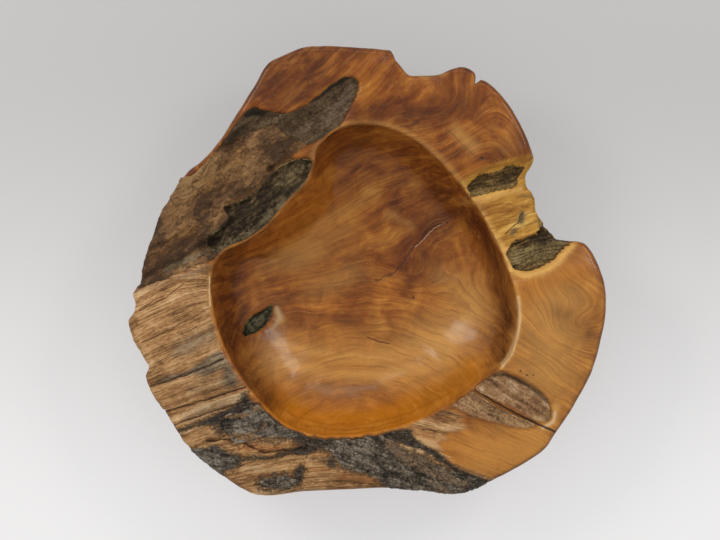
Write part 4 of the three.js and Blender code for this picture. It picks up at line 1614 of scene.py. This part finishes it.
            # Painted shade in the clefts
            cleft_shade = smoothstep(cleft, 0.3, 0.95) * min(0.6, depth / 3.6)
            numbers["hollow"] = np.maximum(numbers["hollow"], cleft_shade)
        numbers["relief"] = np.clip(0.5 + 0.26 * lerp(open_rise, rise, 0.3), 0.0, 1.0)
        return rise * self.height, numbers, np.column_stack([along, across, plan[:, 0] * 0])

    def build(self, skin: Skin) -> bpy.types.Object:
        """Makes the bark's closed mesh.

        Args:
            skin: The bowl's form.

        Returns:
            The bark's object.
        """
        plan, faces = self.mesh_plan(skin)
        bed, part = (np.maximum(gap, 0.0) for gap in self.gaps(skin, plan))
        surface = skin.over_basin if self.in_basin else skin.over
        points = surface(plan)
        step = 0.4
        across = surface(plan + (step, 0)) - surface(plan - (step, 0))
        up = surface(plan + (0, step)) - surface(plan - (0, step))
        normal = np.cross(across, up)
        normal /= np.maximum(np.linalg.norm(normal, axis=1, keepdims=True), 1e-9)
        rise, numbers, grain = self.relief(plan)
        gap = np.minimum(bed, part)
        move = rise * smoothstep(gap, 0.0, 3.0) + self.lift
        move -= self.recess * smoothstep(gap, 1.0, 3.6)
        move -= (self.tuck + self.lift) * smoothstep(bed, 1.3, 0.0)
        move -= self.seam * smoothstep(part, 1.2, 0.0)
        top = skin.keep_within(points + normal * move[:, None])
        bottom = points + normal * (np.minimum(move, 0.0) - self.thickness)[:, None]
        edges = border_edges(faces)
        count = len(plan)
        walls = np.concatenate([
            np.column_stack([edges[:, 1], edges[:, 0], edges[:, 0] + count]),
            np.column_stack([edges[:, 1], edges[:, 0] + count, edges[:, 1] + count]),
        ])
        all_faces = np.concatenate([faces, faces[:, ::-1] + count, walls])
        piece = new_mesh_object(f"{self.node}_bark", np.vstack([top, bottom]), all_faces.tolist())
        for name in ("flake", "dust", "hollow", "relief"):
            set_attribute(piece, name, np.tile(np.clip(numbers[name], 0.0, 1.0), 2))
        grain[:, 2] = points[:, 2]
        set_attribute(piece, "grain", np.vstack([grain, grain]))
        scatter = smoothstep(gap, 1.0, 3.0) * smoothstep(skin.inside_edge(plan), 3.0, 6.0)
        set_attribute(piece, "scatter", np.concatenate([scatter, np.zeros(count)]))
        way = np.array([math.cos(math.radians(self.lean)), math.sin(math.radians(self.lean)), 0.0])
        set_attribute(piece, "fibre_way", np.tile(way, (2 * count, 1)))
        return piece


def largest_island(faces: Array) -> Array:
    """The triangles that hang together in the largest group.

    Args:
        faces: Rows of three corner numbers.

    Returns:
        The rows of that group.
    """
    label = np.arange(faces.max() + 1)
    while True:
        lowest = label[faces].min(1)
        before = label.copy()
        for column in range(3):
            np.minimum.at(label, faces[:, column], lowest)
        label = label[label]
        if np.array_equal(before, label):
            break
    groups, counts = np.unique(label[faces[:, 0]], return_counts=True)
    return faces[label[faces[:, 0]] == groups[counts.argmax()]]


def bark_plates() -> list[BarkPlate]:
    """Every bark plate of the bowl, by its solid's name.

    Returns:
        The plates, in the order in which they are built.
    """
    flaky, folded, pitted = BarkStyle.FLAKY, BarkStyle.FOLDED, BarkStyle.PITTED
    fibrous, granular = BarkStyle.FIBROUS, BarkStyle.GRANULAR
    return [
        BarkPlate("bark_crust_upper_left", "bark_brown", flaky, UPPER_LEFT, None, [FOLD_PART, POCKET_PART],
                  "bark_flaky_brown", lean=36, seed=101, ragged=2.0),
        BarkPlate("bark_fold_upper_left", "bark_grey", folded, UPPER_LEFT, FOLD_PART,
                  finish="bark_grey_fold", lean=35, seed=131, ragged=2.0),
        BarkPlate("bark_pocket_upper_left", "bark_dark", pitted, UPPER_LEFT, POCKET_PART,
                  finish="bark_dark_pocket", recess=4.0, lean=38, seed=161, ragged=2.0),
        BarkPlate("bark_inset_right_upper", "bark_dark", fibrous, RIGHT_UPPER,
                  finish="bark_dark_inset", recess=2.2, lean=16, seed=191, ragged=1.4),
        BarkPlate("bark_inset_right_lower", "bark_dark", fibrous, RIGHT_LOWER,
                  finish="bark_dark_inset", recess=1.5, lean=16, seed=221, ragged=1.8),
        BarkPlate("bark_strip_lower_right_outer", "bark_brown", fibrous, STRIP_OUTER,
                  finish="bark_fibrous_strip", recess=1.2, lean=-31, seed=251, height=0.42, ragged=1.0),
        BarkPlate("bark_strip_lower_right_inner", "bark_brown", fibrous, STRIP_INNER,
                  finish="bark_fibrous_strip", recess=1.0, lean=-29, seed=281, height=0.42, ragged=1.2),
        BarkPlate("bark_crust_bottom", "bark_black", granular, BOTTOM,
                  finish="bark_black_crust", lean=-22, seed=311, ragged=4.5),
        BarkPlate("bark_crust_lower_left", "bark_black", granular, LOWER_LEFT,
                  finish="bark_grey_crust", lean=15, seed=341, ragged=4.0),
        BarkPlate("bark_plate_left_edge", "bark_black", granular, LEFT_EDGE,
                  finish="bark_grey_crust", lean=-5, seed=371, height=0.7, ragged=2.5),
        BarkPlate("bark_plate_bottom_left", "bark_black", granular, BOTTOM_LEFT,
                  finish="bark_black_crust", lean=5, seed=401, height=0.7, ragged=2.0),
        BarkPlate("bark_knot_basin", "bark_dark", pitted, KNOT,
                  finish="bark_knot_olive", recess=3.2, lean=50, seed=431, height=0.7, ragged=2.0,
                  in_basin=True),
    ]


# Deeper fissures of the weathered wood: line, depth and width
FISSURES: list[tuple[Points, float, float]] = [
    ([(-195, -134), (-150, -121), (-114, -109)], 1.6, 1.6),
    ([(-206, -110), (-168, -97), (-135, -83)], 1.2, 1.6),
    ([(-184, -146), (-146, -132), (-112, -122)], 1.2, 1.6),
    ([(-150, -160), (-124, -158), (-96, -171), (-56, -166)], 1.4, 1.8),
    ([(-128, -186), (-96, -180), (-60, -181)], 0.8, 1.6),
]


@dataclass
class WoodBody:
    """The carved block: basin, lip, broad rim, live edge and underside."""

    skin: Skin
    plates: list[BarkPlate]
    columns: int = 712
    basin_rings: int = 46
    lip_gap: float = 0.6
    wall_crowding: float = 1.35
    lip_rings: int = 5
    rim_rings: int = 60
    edge_rings: int = 6
    belly_rings: int = 15
    rough_sector: tuple[float, float] = (150.0, 292.0)
    rough_ramp: float = 12.0
    rough_density: float = 2.0
    angle_probes: int = 7201
    bed_start: float = 1.2
    bed_end: float = 3.6
    bed_depth: float = 5.0
    gouge_lean: float = 18.0
    gouge_length: float = 19.0
    gouge_width: float = 9.0

    def column_angles(self) -> Array:
        """Angles of the columns, closer together on the rough side of the bowl.

        Returns:
            One angle for each column.
        """
        angle = np.linspace(-math.pi, math.pi, self.angle_probes)
        reach = self.skin.look_up(self.skin.edge_table, angle)
        turn = np.degrees(angle) % 360
        start, end = self.rough_sector
        rough = smoothstep(turn, start - self.rough_ramp, start)
        rough *= smoothstep(turn, end + self.rough_ramp, end)
        density = reach * (1 + (self.rough_density - 1) * rough)
        total = np.concatenate([[0.0], np.cumsum((density[1:] + density[:-1]) / 2)])
        return np.interp(np.arange(self.columns) / self.columns * total[-1], total, angle)

    def rings(self) -> tuple[Array, Array]:
        """The block's rings from the middle of the basin to the base.

        Returns:
            A grid of points, and the plan places that patterns on them are drawn in.
        """
        skin, angle = self.skin, self.column_angles()
        steps = np.arange(1, self.basin_rings + 1) / (self.basin_rings + self.lip_gap)
        shares = 1 - (1 - steps) ** self.wall_crowding
        grid = [skin.basin(angle, float(share)) for share in shares]
        turns = np.linspace(0, math.pi / 2, self.lip_rings)
        grid += [skin.lip_ring(angle, float(turn)) for turn in turns]
        plans = [ring[:, :2] for ring in grid]
        lip = skin.look_up(skin.lip_table, angle) + skin.lip_round
        top = skin.look_up(skin.edge_table, angle) - skin.inset - skin.edge_round
        quarter = skin.edge_round * math.pi / 2
        reaches = [lerp(lip, top, (i + 1) / self.rim_rings) for i in range(self.rim_rings)]
        reaches += [top + quarter * (i + 1) / self.edge_rings for i in range(self.edge_rings)]
        deep = skin.over(skin.plan_at(angle, top + quarter))[:, 2]
        reaches += [top + quarter + deep * (i + 1) / self.belly_rings for i in range(self.belly_rings)]
        for reach in reaches:
            plan = skin.plan_at(angle, reach)
            grid.append(skin.over(plan))
            plans.append(plan)
        return np.array(grid), np.array(plans)

    def masks(self, plan: Array, beyond: Array, rows: Array, grain: Array) -> dict[str, Array]:
        """Where each kind of wood lies, and its stains, with painted shade on the basin's walls, along the
        live edge and beside the bark.

        Args:
            plan: Plan places of the corners.
            beyond: Distance of each corner outside the basin's lip.
            rows: Which ring each corner is on.
            grain: The wood's own coordinates.

        Returns:
            Numbers from 0 to 1 for each corner, by name.
        """
        skin = self.skin
        on_basin = (rows < self.basin_rings).astype(float)
        on_rim = rows >= self.basin_rings + 1
        wander = streaks(grain[:, 0], grain[:, 1], (34.0, 3.6), 31)
        gap = inside_distance(skin.outline(WEATHERED), plan)
        weathered = smoothstep(gap + 6.0 * wander, -3.0, 4.0)
        weathered *= smoothstep(beyond - skin.bare_lip(plan) + 0.8 * wander, -1.4, 0.4) * on_rim
        hollow = inside_distance(skin.outline(SAPWOOD_HOLLOW), plan)
        hollow = smoothstep(hollow + 1.5 * wander, -1.5, 2.0)
        hollow *= 1 - smoothstep(plan[:, 1] - 0.55 * plan[:, 0], -68.0, -80.0)
        border = smoothstep(inside_distance(skin.outline(RIGHT_LOWER), plan) + wander, -6.5, -4.5)
        sapwood = np.maximum(hollow, border) * smoothstep(beyond, 1.0, 2.0) * on_rim
        sums = tint_sums(WOOD_TINTS, plan)
        # The basin's painted wall shade and the knot's halo join the heartwood stains
        sums["heart"] += sums.pop("deep") * on_basin
        masks = {name: np.minimum(total, 1.0) for name, total in sums.items()}
        edge = skin.inside_edge(plan)
        # Painted shade along the live edge, where its rounding turns away from the light and the camera
        painted_edge_shade = smoothstep(edge, 3.4, 1.4) * smoothstep(edge, -16.0, -4.0)
        masks["heart"] = np.maximum(masks["heart"], 0.8 * painted_edge_shade)
        upper = smoothstep(plan[:, 1], -60.0, 40.0)
        masks["heart"] = np.maximum(masks["heart"], 0.26 * upper * on_rim)
        masks["pale"] = np.maximum(masks["pale"], 0.5 * upper * np.exp(-(((beyond - 3.0) / 3.0) ** 2)))
        return masks | {"weathered": weathered, "sapwood": sapwood}

    def relief(self, plan: Array, masks: dict[str, Array], grain: Array) -> tuple[Array, Array]:
        """The wood's own surface detail.

        Args:
            plan: Plan places of the corners.
            masks: Where each kind of wood lies.
            grain: The wood's own coordinates.

        Returns:
            How far each corner moves out, in millimetres, and the detail's height from 0 to 1.
        """
        along, layer = grain[:, 0], grain[:, 1]
        carve = 0.5 * fractal(plan / 38.0, 41) + 0.5 * fractal(plan / 16.0, 43)
        fibres = streaks(along, layer, (46.0, 7.0), 45, keep=0.65)
        sharp = 1 - np.abs(streaks(along, layer, (90.0, 13.0), 51, keep=0.5)) * 2
        raw = 0.75 * fibres + 0.4 * sharp - 0.2
        warped = plan + 1.2 * fractal(plan / 8.0, 55)[:, None]
        for line, depth, width in FISSURES:
            raw -= depth * stroke(warped, line, width)
        lengthwise, sideways = turned(plan, self.gouge_lean)
        cut = np.column_stack([lengthwise / self.gouge_length, sideways / self.gouge_width])
        _, _, facet, apart = cell_noise(cut + 0.25 * fractal(plan / 12.0, 63)[:, None], 61)
        chips = 1.6 * facet * smoothstep(apart, 0.0, 0.45) + 0.3 * fractal(cut * 3.0, 67)
        move = lerp(carve, raw, masks["weathered"])
        move = lerp(move, chips, masks["sapwood"])
        return move, np.clip(0.5 + 0.34 * lerp(raw, chips, masks["sapwood"]), 0.0, 1.0)

    def build(self) -> bpy.types.Object:
        """Makes the wood's mesh with its detail and its beds for the bark.

        Returns:
            The wood's object.
        """
        skin = self.skin
        grid, plans = self.rings()
        rings, columns = grid.shape[:2]
        normal = grid_normals(grid).reshape(-1, 3)
        points, plan = grid.reshape(-1, 3), plans.reshape(-1, 2)
        rows = np.repeat(np.arange(rings), columns)
        beyond = skin.beyond_lip(plan)
        calm = smoothstep(inside_distance(skin.outline(WEATHERED), plan), -8.0, 8.0)
        calm *= smoothstep(beyond, -6.0, 2.0)
        grain = grain_field(plan, points[:, 2], calm)
        masks = self.masks(plan, beyond, rows, grain)
        move, relief = self.relief(plan, masks, grain)
        bed = np.zeros(len(plan))
        for plate in self.plates:
            same_side = (rows < self.basin_rings) == plate.in_basin
            gap = np.where(same_side, plate.bed_gap(skin, plan, beyond), -FAR)
            move *= 1 - smoothstep(gap, -2.5, 0.5)
            move -= (self.bed_depth + plate.recess) * smoothstep(gap, self.bed_start, self.bed_end)
            bed = np.maximum(bed, smoothstep(gap, -3.0, -0.5))
            # A dark line where the wood meets the bark: partly stain, partly painted shade in the seam
            masks["heart"] = np.maximum(masks["heart"], 0.75 * smoothstep(gap, -2.2, 0.2))
            if plate.style is BarkStyle.GRANULAR:
                masks["soot"] = np.maximum(masks["soot"], 0.5 * smoothstep(gap, -11.0, 0.5))
        move[rows >= rings - 2] = 0.0
        points = skin.keep_within(points + normal * move[:, None])
        ends = np.array([[*skin.centre, skin.floor_thickness - skin.inset], [*skin.centre, 0.0]])
        faces = self.faces(rings, columns)
        piece = new_mesh_object("wood_body_carved", np.vstack([points, ends]), faces)
        values = masks | {"relief": relief, "grain": grain, "bed": bed}
        for name, rows_of in values.items():
            set_attribute(piece, name, np.concatenate([rows_of, rows_of[[0, -1]]]))
        return piece

    @staticmethod
    def faces(rings: int, columns: int) -> list[list[int]]:
        """Quads between the rings, and the fans that close the basin's floor and the base.

        Args:
            rings: How many rings there are.
            columns: How many points each ring has.

        Returns:
            Rows of corner numbers.
        """
        index = np.arange(rings * columns).reshape(rings, columns)
        around = np.roll(index, -1, axis=1)
        quads = np.stack([index[:-1], index[1:], around[1:], around[:-1]], axis=-1).reshape(-1, 4)
        first, last = np.full(columns, rings * columns), np.full(columns, rings * columns + 1)
        fans = np.vstack([
            np.column_stack([first, index[0], around[0]]), np.column_stack([last, around[-1], index[-1]])
        ])
        return quads.tolist() + fans.tolist()


class LitterShape(Enum):
    """Kinds of loose bits, by how a small ball is stretched along, across and up."""

    GRAIN = (1.0, 0.8, 0.6)
    FLAKE = (1.7, 1.0, 0.22)
    SPLINTER = (8.0, 0.5, 0.4)


@dataclass
class Litter:
    """Loose bits that lie on a piece, spread over it by Geometry Nodes."""

    name: str
    shape: LitterShape
    per_square_metre: float
    size: float
    spread: float
    tilt: float
    seed: int
    finish: str | None = None
    splinter_turn: float = 0.03

    def tree(self) -> tuple[bpy.types.NodeTree, dict[str, str]]:
        """Builds the node tree.

        Returns:
            The tree, and the identifiers of its inputs by name.
        """
        tree = bpy.data.node_groups.new(self.name, "GeometryNodeTree")
        face = tree.interface
        face.new_socket("Surface", in_out="INPUT", socket_type="NodeSocketGeometry")
        kinds = {"Density": "Float", "Smallest": "Float", "Largest": "Float", "Tilt": "Float", "Seed": "Int",
                 "Finish": "Material"}
        keys = {}
        for name, kind in kinds.items():
            keys[name] = face.new_socket(name, in_out="INPUT", socket_type=f"NodeSocket{kind}").identifier
        face.new_socket("Bits", in_out="OUTPUT", socket_type="NodeSocketGeometry")

        add = partial(add_node, tree)
        attribute = partial(add, "GeometryNodeInputNamedAttribute")
        given = add("NodeGroupInput").outputs
        share = attribute({"Name": "scatter"}, data_type="FLOAT").outputs[0]
        way = attribute({"Name": "fibre_way"}, data_type="FLOAT_VECTOR").outputs[0]
        dense = add("ShaderNodeMath", {0: given["Density"], 1: share}, operation="MULTIPLY").outputs[0]
        spots = add("GeometryNodeDistributePointsOnFaces",
                    {"Mesh": given["Surface"], "Density": dense, "Seed": given["Seed"]})
        ball = add("GeometryNodeMeshIcoSphere", {"Radius": 1.0, "Subdivisions": 1})
        bit = add("GeometryNodeTransform", {"Geometry": ball.outputs["Mesh"], "Scale": self.shape.value})
        laid = add("FunctionNodeAlignRotationToVector",
                   {"Rotation": spots.outputs["Rotation"], "Vector": way}, axis="X", pivot_axis="Z")
        high, seed = given["Tilt"], given["Seed"]
        low = add("ShaderNodeMath", {0: high, 1: -1.0}, operation="MULTIPLY").outputs[0]
        wide = math.pi * (self.splinter_turn if self.shape is LitterShape.SPLINTER else 1.0)
        lows = add("ShaderNodeCombineXYZ", {0: low, 1: low, 2: -wide}).outputs[0]
        highs = add("ShaderNodeCombineXYZ", {0: high, 1: high, 2: wide}).outputs[0]
        turn = add("FunctionNodeRandomValue", {0: lows, 1: highs, "Seed": seed}, data_type="FLOAT_VECTOR")
        turn = add("FunctionNodeEulerToRotation", {0: turn.outputs[0]}).outputs[0]
        spun = add("FunctionNodeRotateRotation",
                   {"Rotation": laid.outputs[0], "Rotate By": turn}, rotation_space="LOCAL")
        size = add("FunctionNodeRandomValue", {2: given["Smallest"], 3: given["Largest"], "Seed": seed},
                   data_type="FLOAT")
        placed = add("GeometryNodeInstanceOnPoints", {
            "Points": spots.outputs["Points"], "Instance": bit.outputs[0],
            "Rotation": spun.outputs[0], "Scale": size.outputs[1],
        })
        real = add("GeometryNodeRealizeInstances", {0: placed.outputs[0]})
        dressed = add("GeometryNodeSetMaterial", {"Geometry": real.outputs[0], "Material": given["Finish"]})
        add("NodeGroupOutput", {0: dressed.outputs[0]})
        return tree, keys

    def build(self, host: bpy.types.Object, finish: bpy.types.Material) -> bpy.types.Object:
        """Spreads the bits over a piece and makes them a plain mesh of their own.

        Args:
            host: The piece that they lie on.
            finish: Their material.

        Returns:
            The bits' object.
        """
        tree, keys = self.tree()
        spreader = host.modifiers.new(self.name, "NODES")
        spreader.node_group = tree
        given = {
            "Density": self.per_square_metre,
            "Smallest": self.size * (1 - self.spread) * MM,
            "Largest": self.size * (1 + self.spread) * MM,
            "Tilt": self.tilt,
            "Seed": self.seed,
            "Finish": finish,
        }
        for name, value in given.items():
            spreader[keys[name]] = value
        evaluated = host.evaluated_get(bpy.context.evaluated_depsgraph_get())
        mesh = bpy.data.meshes.new_from_object(evaluated)
        host.modifiers.remove(spreader)
        return link_mesh(f"{host.name}_{self.name}", mesh)


# The loose bits of each style of bark that has them
LITTER: dict[BarkStyle, Litter] = {
    BarkStyle.GRANULAR: Litter("grains", LitterShape.GRAIN, per_square_metre=60000, size=0.7, spread=0.5,
                               tilt=0.6, seed=11, finish="crust_glints"),
    BarkStyle.FLAKY: Litter("flakes", LitterShape.FLAKE, per_square_metre=14000, size=1.3, spread=0.5,
                            tilt=0.2, seed=13),
    BarkStyle.FIBROUS: Litter("shreds", LitterShape.SPLINTER, per_square_metre=12000, size=0.45, spread=0.5,
                              tilt=0.03, seed=17),
}


@dataclass(frozen=True)
class Lamp:
    """A soft lamp that faces the bowl: its place, its power, and the length and width of its face."""

    name: str
    place: tuple[float, float, float]
    power: float
    length: float
    width: float
    colour: tuple[float, float, float] = (1.0, 0.96, 0.88)

    def build(self) -> None:
        """Makes the lamp."""
        data = bpy.data.lights.new(self.name, "AREA")
        data.shape = "RECTANGLE"
        data.energy, data.size, data.size_y = self.power, self.length, self.width
        data.color = self.colour
        lamp = bpy.data.objects.new(self.name, data)
        bpy.context.scene.collection.objects.link(lamp)
        lamp.location = self.place
        lamp.rotation_euler = (-lamp.location).to_track_quat("-Z", "Y").to_euler()


@dataclass
class Studio:
    """Plain pale floor, soft light from the far side, and the camera straight above."""

    floor_size: float = 60.0
    floor_tones: tuple[str, str] = ("#BBBBBC", "#F4F4F6")
    floor_rough: float = 0.7
    floor_glow: float = 0.55
    lens: float = 180.0
    sensor: float = 36.0
    frame_width: float = 0.6735
    frame_middle: tuple[float, float] = (-0.00705, 0.00047)
    fill: float = 0.62
    fill_colour: tuple[float, float, float, float] = (1.0, 0.985, 0.96, 1.0)
    lamps: tuple[Lamp, ...] = (
        Lamp("lamp_far_left", (-1.3, 0.78, 1.35), 12.5, 0.75, 0.65),
        Lamp("lamp_far_right", (1.26, 0.85, 1.35), 8.5, 0.6, 0.5),
        Lamp("lamp_far_long", (0.0, 1.45, 1.3), 4.5, 1.5, 0.22),
    )

    def build(self, rim_height: float) -> None:
        """Makes the floor, the lamps, the world and the camera.

        Args:
            rim_height: Height of the rim in metres, where the frame's width holds.
        """
        scene = bpy.context.scene
        scene.view_settings.view_transform = "Standard"
        half = self.floor_size / 2
        corners = np.array([(-half, -half, 0), (half, -half, 0), (half, half, 0), (-half, half, 0)]) / MM
        floor = new_mesh_object("floor", corners, [[0, 1, 2, 3]], smooth=False)
        floor.data.materials.append(self.floor_material())
        floor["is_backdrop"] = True

        world = bpy.data.worlds.new("studio")
        world.use_nodes = True
        background = world.node_tree.nodes["Background"]
        background.inputs["Color"].default_value = self.fill_colour
        background.inputs["Strength"].default_value = self.fill
        scene.world = world
        for lamp in self.lamps:
            lamp.build()

        data = bpy.data.cameras.new("camera")
        data.lens = self.lens
        data.sensor_width = self.sensor
        camera = bpy.data.objects.new("camera", data)
        scene.collection.objects.link(camera)
        distance = self.frame_width * data.lens / data.sensor_width
        camera.location = (*self.frame_middle, rim_height + distance)
        scene.camera = camera

    def floor_material(self) -> bpy.types.Material:
        """A pale matt floor, a little lighter towards the near side, that also glows to the camera so its
        shadows show lighter.

        Returns:
            The material.
        """
        s = Shader("pale_floor")
        place = s.node("SeparateXYZ", {0: s.node("TexCoord").outputs["Object"]}).outputs["Y"]
        cloud = s.noise(s.millimetres(), (900, 900, 900), 2, 0.4)
        tone = s.math("ADD", s.span(place, 0.22, -0.28, 0.0, 0.84), s.times(cloud, 0.2))
        colour = s.ramp(tone, self.floor_tones)
        s.set(Base_Color=colour, Roughness=self.floor_rough)
        # Painted light: the floor glows to the camera, lifting the shadows on it
        glow = s.times(s.node("LightPath").outputs["Is Camera Ray"], self.floor_glow)
        plain = s.node("Emission", {"Color": colour, "Strength": 1.0})
        both = s.node("MixShader", {0: glow, 1: s.surface.outputs[0], 2: plain.outputs[0]})
        feed(s.tree, s.tree.nodes["Material Output"].inputs["Surface"], both.outputs[0])
        return s.material


def take_over(
    piece: bpy.types.Object, node: str, finish: bpy.types.Material | None = None
) -> None:
    """Lets a piece ride on the bowl and stand for a solid.

    Args:
        piece: The piece.
        node: The solid that it stands for.
        finish: Its material, where it has none yet.
    """
    if finish is not None:
        piece.data.materials.append(finish)
    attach(piece, BODY)
    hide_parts(node)
    log.info("%s: %d faces", piece.name, len(piece.data.polygons))


def main() -> None:
    """Builds the bowl's pieces in order and sets the studio round them."""
    logging.basicConfig(level=logging.INFO, format="%(message)s")
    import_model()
    cad_low, cad_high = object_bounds()
    size = [(high - low) / MM for low, high in zip(cad_low, cad_high)]
    skin = Skin(length=size[0], width=size[1], height=size[2])
    plates = bark_plates()

    wood = WoodBody(skin, plates).build()
    take_over(wood, "wood_body", WoodFinish().material(CRACKS))

    finishes = {name: finish.material() for name, finish in bark_finishes().items()}
    for plate in plates:
        piece = plate.build(skin)
        take_over(piece, plate.node, finishes[plate.finish])
        litter = LITTER.get(plate.style)
        if litter is not None:
            bits = litter.build(piece, finishes[litter.finish or plate.finish])
            take_over(bits, plate.node)

    Studio().build(cad_high.z)


if __name__ == "__main__":
    main()
